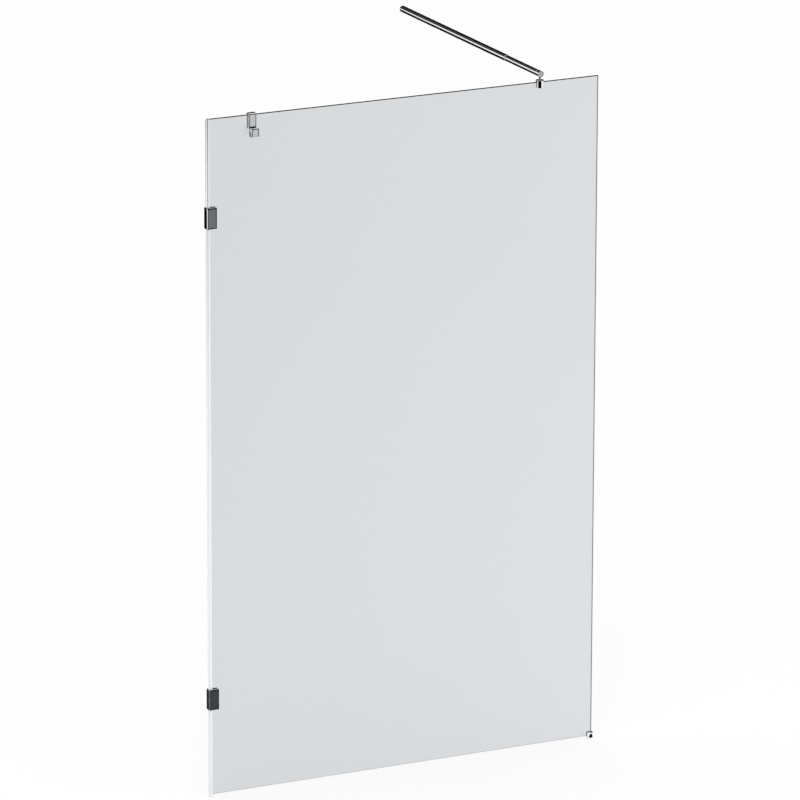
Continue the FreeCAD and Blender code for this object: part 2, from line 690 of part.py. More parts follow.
def make_wall_insert():
    """The plug in the far end of the bar, bored for the wall stud."""
    body = add_body("bar_wall_insert", x=bar_x, z=bar_axis)
    block = add_sketch(body, "XZ_Plane", d.bar_reach)
    draw_circle(block, outer_tube_bore - d.press_gap)
    draw_circle(block, d.insert_bore)
    add_pad(body, block, d.insert_length, toward=-1)
    grub_hole = add_sketch(body, "XY_Plane")
    draw_circle(grub_hole, d.lock_screw_radius + d.press_gap, 0, d.bar_reach - d.insert_grub_place)
    add_pocket(body, grub_hole, toward=-1)


def make_wall_insert_grub_screw():
    """Goes up through the outer tube into the insert, and clamps the wall stud."""
    tip = d.insert_bore + d.insert_grub_room
    length = outer_tube_radius - d.lock_screw_recess - tip
    downwards = FreeCAD.Rotation(FreeCAD.Vector(1, 0, 0), 180)
    place = (bar_x, d.bar_reach - d.insert_grub_place, bar_axis - tip)
    make_grub_screw("bar_wall_grub_screw", d.lock_screw_radius, length, place, downwards)


def make_foot():
    """A round block on the floor, slotted for the pane's free corner and closed at the end."""
    body = add_body("foot_body", x=glass_end - d.foot_inset, z=floor)
    slot_side = half_glass + d.foot_liner
    slot_floor = d.floor_gap - d.foot_liner
    slot_end = d.foot_inset + d.foot_liner
    block = add_sketch(body, "XY_Plane")
    draw_circle(block, d.foot_radius)
    add_pad(body, block, d.foot_height, toward=1)
    dress_edges(body, "Chamfer", d.foot_edge, lambda edge: lies_at(edge, 2, d.foot_height))
    slot = add_sketch(body, "XY_Plane", d.foot_height)
    draw_box(slot, -d.foot_radius, slot_end, -slot_side, slot_side)
    add_pocket(body, slot, d.foot_height - slot_floor, toward=-1)
    floor_hole = add_sketch(body, "XY_Plane", slot_floor)
    draw_circle(floor_hole, d.floor_hole_radius)
    add_pocket(body, floor_hole, slot_floor, toward=-1)
    dress_edges(body, "Chamfer", d.floor_hole_sink, lambda edge: (
        is_round(edge, d.floor_hole_radius) and lies_at(edge, 2, slot_floor)))


def make_foot_liner():
    """The soft shoe between the foot and the pane."""
    body = add_body("foot_liner", x=glass_end - d.foot_inset, z=floor)
    slot_side = half_glass + d.foot_liner
    slot_floor = d.floor_gap - d.foot_liner
    start = d.liner_margin - other_leg(d.foot_radius, slot_side)
    top = d.foot_height - d.foot_edge
    block = add_sketch(body, "XY_Plane", slot_floor)
    draw_box(block, start, d.foot_inset + d.foot_liner, -slot_side, slot_side)
    add_pad(body, block, top - slot_floor, toward=1)
    pane = add_sketch(body, "XY_Plane", top)
    draw_box(pane, start, d.foot_inset, -half_glass, half_glass)
    add_pocket(body, pane, top - d.floor_gap, toward=-1)


def make_support_bar():
    make_bar_clamp()
    make_bar_clamp_liner()
    make_bar_clamp_grub_screw()
    make_swivel_pin()
    make_bar_head()
    make_bar_head_lock_screw()
    make_bar_tubes()
    make_twist_lock_plug()
    make_twist_lock_cam()
    make_wall_insert()
    make_wall_insert_grub_screw()


def check_document():
    """Stops before anything is written if a feature failed or a solid is bad."""
    doc.recompute()
    failed = [o.Label for o in doc.Objects if "Invalid" in o.State or "Error" in o.State]
    bad = [b.Label for b in sub_parts if b.Shape.isNull() or not b.Shape.isValid() or not b.Shape.Solids]
    if failed or bad:
        raise RuntimeError(f"failed features: {failed}; bad solids: {bad}")


make_glass_panel()
make_wall_seals()
make_wall_clamp("lower", as_size(0))
make_wall_clamp("upper", upper_clamp_place)
make_robe_hook()
make_hook_liner()
make_support_bar()
make_foot()
make_foot_liner()
check_document()

os.makedirs("parts", exist_ok=True)
for sub_part in sub_parts:
    sub_part.Shape.exportStep(f"parts/{sub_part.Label}.step")
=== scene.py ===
"""Fixed shower screen: the finished look of every piece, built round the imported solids."""

import math

import bmesh
import bpy
from mathutils import Matrix, Vector


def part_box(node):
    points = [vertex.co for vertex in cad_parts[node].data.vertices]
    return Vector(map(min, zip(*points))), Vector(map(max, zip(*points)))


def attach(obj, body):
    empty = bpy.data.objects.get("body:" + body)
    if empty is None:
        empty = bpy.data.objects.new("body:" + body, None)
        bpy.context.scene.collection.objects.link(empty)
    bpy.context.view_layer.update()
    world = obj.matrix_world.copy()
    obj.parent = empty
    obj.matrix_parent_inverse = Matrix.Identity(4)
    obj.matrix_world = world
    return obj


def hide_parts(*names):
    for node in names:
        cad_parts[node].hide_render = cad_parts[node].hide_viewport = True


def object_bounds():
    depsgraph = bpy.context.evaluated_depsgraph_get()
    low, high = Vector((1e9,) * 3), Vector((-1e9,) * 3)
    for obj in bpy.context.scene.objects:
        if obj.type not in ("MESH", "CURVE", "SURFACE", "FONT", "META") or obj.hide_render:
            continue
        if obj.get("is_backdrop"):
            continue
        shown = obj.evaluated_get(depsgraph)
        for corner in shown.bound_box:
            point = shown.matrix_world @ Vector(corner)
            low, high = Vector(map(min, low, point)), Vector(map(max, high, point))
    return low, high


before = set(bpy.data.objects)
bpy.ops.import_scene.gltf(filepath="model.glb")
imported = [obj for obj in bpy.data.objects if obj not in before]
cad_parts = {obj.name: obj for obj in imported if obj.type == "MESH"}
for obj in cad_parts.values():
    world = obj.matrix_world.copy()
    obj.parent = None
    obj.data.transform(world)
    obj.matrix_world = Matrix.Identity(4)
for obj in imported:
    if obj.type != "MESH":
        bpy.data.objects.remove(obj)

bl_info = {
    "name": "Fixed Shower Screen",
    "version": (1, 0, 0),
    "blender": (4, 5, 0),
    "location": "View3D > Sidebar > Shower Screen",
    "description": "Models and finishes the pieces of a fixed shower screen",
    "category": "Add Mesh",
}

MM = 0.001
HALF = 0.5
QUARTER = math.pi / 2
AXES = {"X": Vector((1, 0, 0)), "Y": Vector((0, 1, 0)), "Z": Vector((0, 0, 1))}
FACING = {"X": (0, QUARTER, 0), "Y": (-QUARTER, 0, 0), "Z": (0, 0, 0)}
ROUND_SIDES = 96
SMALL_SIDES = 48
HEXAGON = 6
FOLD_SEGMENTS = 8
EDGE_SEGMENTS = 3
SMOOTH_ANGLE = math.radians(32)
SOFTEN_ANGLE = math.radians(40)
SAME_PLACE = 1e-5
# Parts of a face's normal from which it counts as square on to an axis, or as leaning downward.
SQUARE_ON = 0.9
DOWNWARD = -0.5
CLAMPS = ("lower", "upper")
SEALS = ("lower", "middle", "upper")

GLASS_IOR = 1.52
VINYL_IOR = 1.5
# Between these values of a noise a finish goes from its one end to its other.
NOISE_SPAN = (0.35, 0.65)
# Painted light that makes the pane lighter toward its free lower corner, partly offsetting the floor's shadow
# seen through it: how its tint climbs to each metre of X, Y and Z, from where, and between which shares of
# its colour.
GLASS_LIGHT_SLANT = (0.382, 0, -0.183)
GLASS_LIGHT_START = (0.49, 0.54)
GLASS_LIGHT_SHARES = (0.945, 1.07)
# Painted shade at the pane's top: how far below it, in arrises, its edges start to darken and are dark.
TOP_SHADE_BAND = (1.5, 1.2)
# Bands of painted shade across a wall seal, from the wall to the lip, and how bright they are at its foot and
# at its top: a grey line at the wall, a dark line where the pane's edge shows through the lip, and a lip that
# dims toward the top.
SEAL_SHADE_BANDS = ((0.05, "wall"), (0.12, "clear"), (0.36, "clear"), (0.41, "edge"), (0.53, "edge"), (0.63, "lip"))
SEAL_FOOT_SHADE = {"wall": 0.9, "clear": 1, "edge": 1, "lip": 1}
SEAL_TOP_SHADE = {"wall": 0.25, "clear": 1, "edge": 0.28, "lip": 0.8}
# How steeply the seals' painted shade grows toward the top.
SEAL_SHADE_STEEPNESS = 4

KEY_SIZE = 3
KEY_PLACE = (-2.5, -3.5, 5)
SENSOR_WIDTH = 36
CAMERA_REACH = 200
# Cards that only metal and glass reflect: name, centre and size in metres, turn in degrees, brightness,
# and the width along their edges over which they fade to white. Those behind draw the dark bands along
# the bar, and those in front and at the sides the dark bands of metal that is seen from other sides. The
# last two stand close to the lower clamp and to the foot.
CARDS = (
    ("card_rear", (12.8, 10.0, 10.05), (33.4, 21.3), (90, 0, 0), 0.002, 0.2),
    ("card_rear_line", (-0.5, 9.9, 7.0), (1.4, 4.0), (90, 0, 0), 0.15, 0),
    ("card_rear_floor", (11.0, 13.0, -0.284), (34.0, 22.4), (0, 0, 0), 0.002, 1.2),
    ("card_front", (-3.0, -13.0, 10.0), (34.0, 20.0), (90, 0, 0), 0.002, 1.2),
    ("card_left", (-13.0, -1.5, 10.0), (20.0, 23.0), (0, 90, 0), 0.002, 1.2),
    ("card_right", (15.0, -1.5, 10.0), (20.0, 23.0), (0, 90, 0), 0.002, 1.2),
    ("card_lower_side", (-0.03, 0.067, -0.025), (0.07, 0.036), (0, 90, 0), 0.03, 0),
    ("card_foot", (1.2125, -0.0255, -0.286), (0.045, 0.032), (0, 0, 24), 0.002, 0),
)
WHITE = (1, 1, 1, 1)
COOL = (0.835, 0.91, 1, 1)
DARK = 0.002
# Small cards that the camera sees mirrored in flat faces: solid with that face, tint, brightness, and how
# far the card's dark rim reaches in from the solid's outline. The hook has two such faces.
FACE_CARDS = (
    ("upper_clamp_front_plate", COOL, 0.21, 0.003),
    ("lower_clamp_front_plate", COOL, 0.073, 0.003),
    ("bar_head", WHITE, 0.45, 0),
)
HOOK_SHADE = 0.62
HOOK_RIM = 0.002
BACK_SHADE = 0.12
FACE_CARD_DISTANCE = 0.012
FACE_CARD_MARGIN = 0.005
# The bevels of a clamp's front plate, where they face and along which axis they run, and the dark ones.
BEVELS = {
    "top": ((0, -1, 1), "X"), "bottom": ((0, -1, -1), "X"),
    "left": ((-1, -1, 0), "Z"), "right": ((1, -1, 0), "Z"),
}
DARK_BEVELS = {"upper": ("top", "right", "bottom"), "lower": ("top", "right", "bottom", "left")}
# Dark strips that the camera sees mirrored in narrow faces and round pieces: their widths and distance.
BEVEL_STRIP = 0.004
CLAMP_STRIP = 0.027
PIN_STRIP = 0.06
STRIP_DISTANCE = 0.008


def length(label, meaning, millimetres):
    return bpy.props.FloatProperty(
        name=label, description=meaning, default=millimetres * MM, unit="LENGTH", precision=5)


def angle(label, meaning, degrees):
    return bpy.props.FloatProperty(
        name=label, description=meaning, default=math.radians(degrees), subtype="ANGLE")


def place(label, meaning, metres):
    return bpy.props.FloatVectorProperty(
        name=label, description=meaning, default=metres, subtype="TRANSLATION", unit="LENGTH")


def colour(label, meaning, red, green, blue):
    return bpy.props.FloatVectorProperty(
        name=label, description=meaning, default=(red, green, blue), subtype="COLOR", min=0, max=1)


def share(label, meaning, value):
    return bpy.props.FloatProperty(
        name=label, description=meaning, default=value, min=0, max=1, subtype="FACTOR")


class ScreenSizes(bpy.types.PropertyGroup):
    """Sizes that the boxes of the solids don't give."""

    glass_arris: length("Glass arris", "Ground bevel along the edges of the pane", 1.1)
    fine_edge: length("Fine edge", "Rounding left on a polished metal edge", 0.2)
    soft_edge: length("Soft edge", "Rounding of a rubber or plastic edge", 0.3)
    skin_gap: length("Skin gap", "Room between a soft lining and the glass", 0.05)
    press_gap: length("Press gap", "Room round a piece that is pushed or screwed in", 0.05)
    seal_wall: length("Seal wall", "Thickness of the seal's lips", 1.2)
    seal_bulb_wall: length("Seal bulb wall", "Wall of the seal's hollow bulb", 0.8)
    seal_fold: length("Seal fold", "Rounding of the seal's folds, at mid wall", 0.9)
    clamp_bevel: length("Clamp bevel", "Bevel round the visible faces of a clamp", 1.5)
    clamp_hole: length("Clamp hole", "Radius of the screw holes in a clamp", 2.75)
    wall_hole: length("Wall hole", "Radius of the wall holes in a clamp", 2.6)
    wall_hole_spacing: length("Wall hole spacing", "Distance between the two wall holes", 40)
    countersink: length("Countersink", "Depth of the countersinks in a clamp", 2.2)
    screw_shank: length("Screw shank", "Radius of a clamp screw", 2.5)
    screw_key: length("Screw key", "Hexagon of a clamp screw, across flats", 3)
    grub_key: length("Grub key", "Hexagon of a grub screw, across flats", 2)
    key_depth: length("Key depth", "Depth of a hexagon socket", 2)
    hook_strip: length("Hook strip", "Thickness of the robe hook's strip", 3)
    hook_back: length("Hook back", "Rear leg of the robe hook below the pane's top", 40)
    hook_tip: length("Hook tip", "Height of the robe hook's tip", 27)
    hook_fold: length("Hook fold", "Bend of the robe hook, at mid strip", 3)
    hook_edge: length("Hook edge", "Rounding of the strip's edges", 0.4)
    rim_bevel: length("Rim bevel", "Bevel on the rims of the bar clamp and the foot", 0.8)
    pin_radius: length("Pin radius", "Swivel pin", 3)
    pin_collar: length("Pin collar", "Height of the swivel pin's collar", 1.5)
    head_round: length("Head round", "Rounding of the bar head's end", 1.5)
    inner_wall: length("Inner wall", "Wall of the inner tube", 1)
    outer_wall: length("Outer wall", "Wall of the outer tube", 0.75)
    tube_edge: length("Tube edge", "Bevel at the ends of the tubes", 0.3)
    insert_bore: length("Insert bore", "Radius of the bore for the wall stud", 3.25)
    floor_hole: length("Floor hole", "Radius of the foot's floor screw hole", 2.6)


class ScreenFinishes(bpy.types.PropertyGroup):
    """Colours and polish of the materials."""

    glass: colour("Glass", "Tint of the clear pane", 0.686, 0.704, 0.721)
    # Painted shade: the top edge near black and the upright edges grey, standing in for the dark look into
    # the glass through them.
    glass_top: colour("Glass top", "Polished top edge of the pane", 0.006, 0.007, 0.007)
    glass_edge: colour("Glass edge", "Polished upright edges of the pane", 0.36, 0.37, 0.375)
    chrome: colour("Chrome", "Polished chrome plate", 0.82, 0.83, 0.845)
    steel: colour("Steel", "Stainless steel of the screws", 0.6, 0.59, 0.57)
    vinyl: colour("Vinyl", "Milky clear strip of the seals and linings", 0.955, 0.96, 0.965)
    rubber: colour("Rubber", "Gaskets in the clamps", 0.018, 0.018, 0.019)
    nylon: colour("Nylon", "Bushes and twist lock", 0.8, 0.79, 0.74)
    chrome_polish: share("Chrome polish", "Roughness of clean chrome", 0.02)
    chrome_haze: share("Chrome haze", "Roughness where the chrome was wiped", 0.035)


class ScreenStage(bpy.types.PropertyGroup):
    """Camera and studio."""

    azimuth: angle("Azimuth", "Camera turned about the upright axis", -25.82)
    elevation: angle("Elevation", "Camera above the horizon", 16.23)
    roll: angle("Roll", "Camera turned about its own axis", 0.168)
    distance: length("Distance", "Camera to the point it looks at", 20006)
    aim: place("Aim", "Point that the camera looks at", (0.5936, 0.001, 0.7984))
    focal_length: bpy.props.FloatProperty(
        name="Focal length", description="On a sensor 36 mm wide", default=321.7, unit="CAMERA")
    floor_size: length("Floor size", "Side of the floor", 80000)
    floor_glow: share("Floor glow", "Part of the floor's white that isn't shaded", 0.8)
    floor_white: share("Floor white", "Part of the light that the floor sends back up", 0.9)
    dome: share("Dome", "Light of the pale surroundings", 0.92)
    key_power: bpy.props.FloatProperty(
        name="Key power", description="Large soft lamp", default=70, unit="POWER")


def sizes():
    return bpy.context.scene.screen_sizes


def finishes():
    return bpy.context.scene.screen_finishes


def stage_settings():
    return bpy.context.scene.screen_stage


# Modelling

def deselect():
    bpy.ops.object.select_all(action="DESELECT")


def make_active(piece):
    deselect()
    piece.select_set(True)
    bpy.context.view_layer.objects.active = piece


def add_primitive(add, stretch=(1, 1, 1), **settings):
    """Adds a primitive with nothing else selected, and leaves its object at the origin."""
    deselect()
    add(**settings)
    bpy.context.object.scale = stretch
    bpy.ops.object.transform_apply(location=True, rotation=True, scale=True)
    return bpy.context.object


def add_block(low, high):
    low, high = Vector(low), Vector(high)
    return add_primitive(
        bpy.ops.mesh.primitive_cube_add, high - low, size=1, location=(low + high) / 2)


def edit(piece, select_mode="FACE"):
    make_active(piece)
    bpy.ops.object.mode_set(mode="EDIT")
    bpy.ops.mesh.select_mode(type=select_mode)


def leave_edit():
    bpy.ops.object.mode_set(mode="OBJECT")


def pick(kind, chosen):
    """In edit mode, selects only the faces or edges that are chosen."""
    bpy.ops.mesh.select_all(action="DESELECT")
    mesh = bmesh.from_edit_mesh(bpy.context.edit_object.data)
    found = [item for item in getattr(mesh, kind) if chosen(item)]
    if not found:
        raise RuntimeError(f"no {kind} to pick on {bpy.context.edit_object.name}")
    for item in found:
        item.select_set(True)
    mesh.select_flush_mode()
    bmesh.update_edit_mesh(bpy.context.edit_object.data)


def extrude(step):
    """Draws out what is selected by a step."""
    bpy.ops.mesh.extrude_region_move(TRANSFORM_OT_translate={"value": step})


def middle(edge):
    return (edge.verts[0].co + edge.verts[1].co) / 2


def lies_at(edge, axis, spot):
    return all(abs(vertex.co[axis] - spot) < SAME_PLACE for vertex in edge.verts)


def mend_normals():
    bpy.ops.mesh.select_all(action="SELECT")
    bpy.ops.mesh.remove_doubles(threshold=SAME_PLACE / 10)
    bpy.ops.mesh.normals_make_consistent(inside=False)


def turned(axis, centre, stations, hollow=False, sides=ROUND_SIDES):
    """A turned piece: a circle drawn out along its axis, resized at each station (place, radius).

    A hollow piece's stations go out along the outside and back along the bore, and its first and last
    circles are bridged. Otherwise both ends are filled.
    """
    along = AXES[axis]
    across = Vector((1, 1, 1)) - along
    spot, radius = stations[0]
    piece = add_primitive(
        bpy.ops.mesh.primitive_circle_add, vertices=sides, radius=radius, fill_type="NOTHING",
        location=Vector(centre) + along * spot, rotation=FACING[axis])
    edit(piece, "EDGE")
    bpy.ops.mesh.select_all(action="SELECT")
    for next_spot, next_radius in stations[1:]:
        extrude(along * (next_spot - spot))
        bpy.ops.transform.resize(
            value=along + across * (next_radius / radius),
            center_override=Vector(centre) + along * next_spot)
        spot, radius = next_spot, next_radius
    bpy.ops.mesh.select_all(action="DESELECT")
    bpy.ops.mesh.select_non_manifold()
    if hollow:
        bpy.ops.mesh.bridge_edge_loops()
    else:
        bpy.ops.mesh.edge_face_add()
    mend_normals()
    leave_edit()
    return piece


def bent_strip(path, along, low, high, thickness, fold):
    """A strip along X or Z: one edge drawn out from corner to corner, its folds rounded, then thickened."""
    run = AXES[along]
    middle_of_run = run * (low + high) / 2
    corners = [Vector(corner) for corner in path]
    reach = corners[1] - corners[0]
    turn = Matrix((run, reach.normalized(), run.cross(reach.normalized()))).transposed()
    strip = add_primitive(
        bpy.ops.mesh.primitive_plane_add, (high - low, reach.length, 1), size=1, rotation=turn.to_euler(),
        location=(corners[0] + corners[1]) / 2 + middle_of_run)
    edit(strip, "EDGE")
    pick("edges", lambda edge: (middle(edge) - corners[1] - middle_of_run).length < SAME_PLACE)
    for corner, next_corner in zip(corners[1:], corners[2:]):
        extrude(next_corner - corner)
    folds = [corner + middle_of_run for corner in corners[1:-1]]
    pick("edges", lambda edge: any((middle(edge) - spot).length < SAME_PLACE for spot in folds))
    bpy.ops.mesh.bevel(offset=fold, segments=FOLD_SEGMENTS, affect="EDGES")
    bpy.ops.mesh.select_all(action="SELECT")
    bpy.ops.mesh.normals_make_consistent(inside=False)
    leave_edit()
    wall = strip.modifiers.new("wall", "SOLIDIFY")
    wall.thickness = thickness
    wall.offset = 0
    wall.use_even_offset = True
    apply_modifier(strip, wall)
    return strip


def apply_modifier(piece, modifier):
    make_active(piece)
    bpy.ops.object.modifier_apply(modifier=modifier.name)


def combine(piece, other, operation):
    """Cuts other out of piece, or adds it, and throws other away."""
    boolean = piece.modifiers.new("boolean", "BOOLEAN")
    boolean.operation = operation
    boolean.solver = "EXACT"
    boolean.object = other
    apply_modifier(piece, boolean)
    bpy.data.objects.remove(other)


def cut(piece, *tools):
    for tool in tools:
        combine(piece, tool, "DIFFERENCE")


def soften(piece, width, segments=EDGE_SEGMENTS):
    """Rounds the sharp edges of a finished shape."""
    bevel = piece.modifiers.new("bevel", "BEVEL")
    bevel.width = width
    bevel.segments = segments
    bevel.limit_method = "ANGLE"
    bevel.angle_limit = SOFTEN_ANGLE
    bevel.use_clamp_overlap = True
    apply_modifier(piece, bevel)


def join(first, other):
    make_active(first)
    other.select_set(True)
    bpy.ops.object.join()
    return first


def copy_moved(piece, step):
    """A copy with a mesh of its own, moved by a step in its mesh."""
    make_active(piece)
    bpy.ops.object.duplicate(linked=False)
    twin = bpy.context.object
    twin.location = step
    bpy.ops.object.transform_apply(location=True, rotation=False, scale=False)
    return twin


def drill(axis, centre, radius, start, stop):
    """A cutter for a plain hole."""
    return turned(axis, centre, [(start, radius), (stop, radius)], sides=SMALL_SIDES)


def hexagon_tool(axis, centre, across_flats, start, stop):
    """A cutter for a hexagon socket."""
    corner = across_flats / math.sqrt(3)
    return turned(axis, centre, [(start, corner), (stop, corner)], sides=HEXAGON)


def sink_tool(axis, centre, radius, sink, start, stop):
    """A cutter for a countersunk hole whose wide end is at stop."""
    step = sink if stop > start else -sink
    return turned(axis, centre, [
        (start - step, radius), (stop - step, radius), (stop, radius + sink), (stop + step, radius + sink),
    ], sides=SMALL_SIDES)


def finish_piece(piece, name, body, slot, finish, *nodes):
    """Names a piece, shades it, dresses it, ties it to its body and hides the solids it stands for."""
    piece.name = name
    piece.data.name = name
    make_active(piece)
    bpy.ops.object.shade_smooth_by_angle(angle=SMOOTH_ANGLE)
    weighted = piece.modifiers.new("weighted", "WEIGHTED_NORMAL")
    weighted.keep_sharp = True
    apply_modifier(piece, weighted)
    if not piece.data.materials:
        piece.data.materials.append(finish_named(finish))
    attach(piece, body)
    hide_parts(*nodes)


# Nodes of materials and of the world

def add_node(owner, kind):
    return owner.node_tree.nodes.new(kind)


def connect(owner, output, socket):
    owner.node_tree.links.new(output, socket)


def coordinates(owner, kind):
    """X, Y and Z of a point, on the piece or on its UV map."""
    where = add_node(owner, "ShaderNodeTexCoord")
    parts = add_node(owner, "ShaderNodeSeparateXYZ")
    connect(owner, where.outputs[kind], parts.inputs["Vector"])
    return parts.outputs


def calculate(owner, operation, *values):
    """The result of an operation on outputs and plain numbers."""
    node = add_node(owner, "ShaderNodeMath")
    node.operation = operation
    for value, socket in zip(values, node.inputs):
        if isinstance(value, bpy.types.NodeSocket):
            connect(owner, value, socket)
        else:
            socket.default_value = value
    return node.outputs["Value"]


def remap(owner, output, source=(0, 1), target=(0, 1)):
    """The output with its source range laid on the target range, and level before and after."""
    spread = add_node(owner, "ShaderNodeMapRange")
    for name, value in zip(("From Min", "From Max", "To Min", "To Max"), (*source, *target)):
        spread.inputs[name].default_value = value
    connect(owner, output, spread.inputs["Value"])
    return spread.outputs["Result"]


def ramp(finish, output, stops):
    """A colour that runs through the stops, each a value of the output and a colour."""
    node = add_node(finish, "ShaderNodeValToRGB")
    elements = node.color_ramp.elements
    for _ in stops[2:]:
        elements.new(HALF)
    for element, (spot, shade) in zip(elements, stops):
        element.position = spot
        element.color = (*shade, 1)
    connect(finish, output, node.inputs["Fac"])
    return node.outputs["Color"]


def blended(finish, factor, first, second):
    """The first colour where the factor is 0 and the second where it is 1, each a colour or an output."""
    blend = add_node(finish, "ShaderNodeMix")
    blend.data_type = "RGBA"
    sockets = {socket.identifier: socket for socket in (*blend.inputs, *blend.outputs)}
    connect(finish, factor, blend.inputs["Factor"])
    for name, tone in (("A_Color", first), ("B_Color", second)):
        if isinstance(tone, bpy.types.NodeSocket):
            connect(finish, tone, sockets[name])
        else:
            sockets[name].default_value = (*tone, 1)
    return sockets["Result_Color"]


def seen_rays(owner):
    """1 for a ray from the camera, or one that metal or glass sends on, and 0 for other rays."""
    path = add_node(owner, "ShaderNodeLightPath").outputs
    seen = calculate(owner, "MAXIMUM", path["Is Camera Ray"], path["Is Glossy Ray"])
    return calculate(owner, "MAXIMUM", seen, path["Is Transmission Ray"])


# Finishes

def new_finish(name, base, **sockets):
    finish = bpy.data.materials.new(name)
    finish.use_nodes = True
    surface(finish)["Base Color"].default_value = (*base, 1)
    for socket, value in sockets.items():
        surface(finish)[socket.replace("_", " ")].default_value = value
    return finish


def surface(finish):
    """The sockets of a finish's shader."""
    return finish.node_tree.nodes["Principled BSDF"].inputs


def grain(finish, cells, detail=3, stretch=(1, 1, 1)):
    """A noise fixed to the piece, with so many cells to the metre along each stretched axis."""
    where = add_node(finish, "ShaderNodeTexCoord")
    mapping = add_node(finish, "ShaderNodeMapping")
    noise = add_node(finish, "ShaderNodeTexNoise")
    mapping.inputs["Scale"].default_value = stretch
    noise.inputs["Scale"].default_value = cells
    noise.inputs["Detail"].default_value = detail
    connect(finish, where.outputs["Object"], mapping.inputs["Vector"])
    connect(finish, mapping.outputs["Vector"], noise.inputs["Vector"])
    return noise.outputs["Fac"]


def shaded(base, factor):
    return tuple(min(1, part * factor) for part in base)


def tint(finish, pattern, base, darkest, lightest):
    """Lets the colour wander between two shares of its base."""
    stops = [(spot, shaded(base, factor)) for spot, factor in zip(NOISE_SPAN, (darkest, lightest))]
    connect(finish, ramp(finish, pattern, stops), surface(finish)["Base Color"])


def roughen(finish, pattern, low, high):
    connect(finish, remap(finish, pattern, NOISE_SPAN, (low, high)), surface(finish)["Roughness"])


def emboss(finish, pattern, depth):
    bump = add_node(finish, "ShaderNodeBump")
    bump.inputs["Distance"].default_value = depth
    bump.inputs["Strength"].default_value = 1
    connect(finish, pattern, bump.inputs["Height"])
    connect(finish, bump.outputs["Normal"], surface(finish)["Normal"])


def clear_glass():
    """The pane's faces: a faint grey tint, with painted light that makes it a little lighter toward the free
    lower corner.
    """
    base = finishes().glass
    finish = new_finish(
        "clear_glass", base, Metallic=0, Roughness=0, IOR=GLASS_IOR, Transmission_Weight=1)
    where = add_node(finish, "ShaderNodeTexCoord")
    light_slant = add_node(finish, "ShaderNodeVectorMath")
    light_slant.operation = "DOT_PRODUCT"
    light_slant.inputs[1].default_value = GLASS_LIGHT_SLANT
    connect(finish, where.outputs["Object"], light_slant.inputs[0])
    start = remap(finish, grain(finish, cells=1.3, detail=1), NOISE_SPAN, GLASS_LIGHT_START)
    # Painted light: the tint climbs along the slant, from a start that drifts a little at random.
    painted_light = calculate(finish, "ADD", light_slant.outputs["Value"], start)
    stops = [(spot, shaded(base, factor)) for spot, factor in enumerate(GLASS_LIGHT_SHARES)]
    connect(finish, ramp(finish, painted_light, stops), surface(finish)["Base Color"])
    return finish


def ground_glass_edge():
    """The pane's top and upright edges, with painted shade for the dark look into the glass: near black along
    the top and grey up the sides.
    """
    wanted = finishes()
    finish = new_finish(
        "ground_glass_edge", wanted.glass_edge, Metallic=0, IOR=GLASS_IOR, Specular_IOR_Level=0.05)
    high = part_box("glass_panel")[1]
    band = [high.z - arrises * sizes().glass_arris for arrises in TOP_SHADE_BAND]
    top = remap(finish, coordinates(finish, "Object")["Z"], band)
    # Painted shade: grey edges that turn near black at the top.
    connect(finish, blended(finish, top, wanted.glass_edge, wanted.glass_top), surface(finish)["Base Color"])
    lines = grain(finish, cells=700, detail=2)
    roughen(finish, lines, 0.15, 0.3)
    emboss(finish, lines, depth=0.00001)
    return finish


def polished_chrome():
    """Bright plate with a faint wiping haze and hairlines."""
    wanted = finishes()
    finish = new_finish("polished_chrome", wanted.chrome, Metallic=1)
    haze = grain(finish, cells=45, detail=4)
    tint(finish, haze, wanted.chrome, 0.97, 1.02)
    roughen(finish, haze, wanted.chrome_polish, wanted.chrome_haze)
    emboss(finish, grain(finish, cells=260, detail=2, stretch=(1, 1, 0.12)), depth=0.0000012)
    return finish


def brushed_steel():
    """Stainless screws with turning marks."""
    base = finishes().steel
    finish = new_finish("brushed_steel", base, Metallic=1)
    marks = grain(finish, cells=2600, detail=2, stretch=(1, 0.25, 1))
    tint(finish, grain(finish, cells=220), base, 0.85, 1.1)
    roughen(finish, marks, 0.18, 0.36)
    emboss(finish, marks, depth=0.000008)
    return finish


def polished_steel():
    """The bright turned pin of the bar."""
    base = finishes().steel
    finish = new_finish("polished_steel", base, Metallic=1)
    marks = grain(finish, cells=1500, detail=2, stretch=(0.1, 0.1, 1))
    tint(finish, marks, base, 1.05, 1.2)
    roughen(finish, marks, 0.05, 0.1)
    return finish


def drawn_vinyl(name):
    """Milky clear strip, with lines from drawing it out."""
    finish = new_finish(name, finishes().vinyl, Metallic=0, IOR=VINYL_IOR, Transmission_Weight=0.06)
    lines = grain(finish, cells=1500, detail=2, stretch=(1, 1, 0.01))
    roughen(finish, lines, 0.06, 0.12)
    emboss(finish, lines, depth=0.00002)
    return finish


def clear_vinyl():
    """The soft linings."""
    finish = drawn_vinyl("clear_vinyl")
    tint(finish, grain(finish, cells=30), finishes().vinyl, 0.98, 1.01)
    return finish


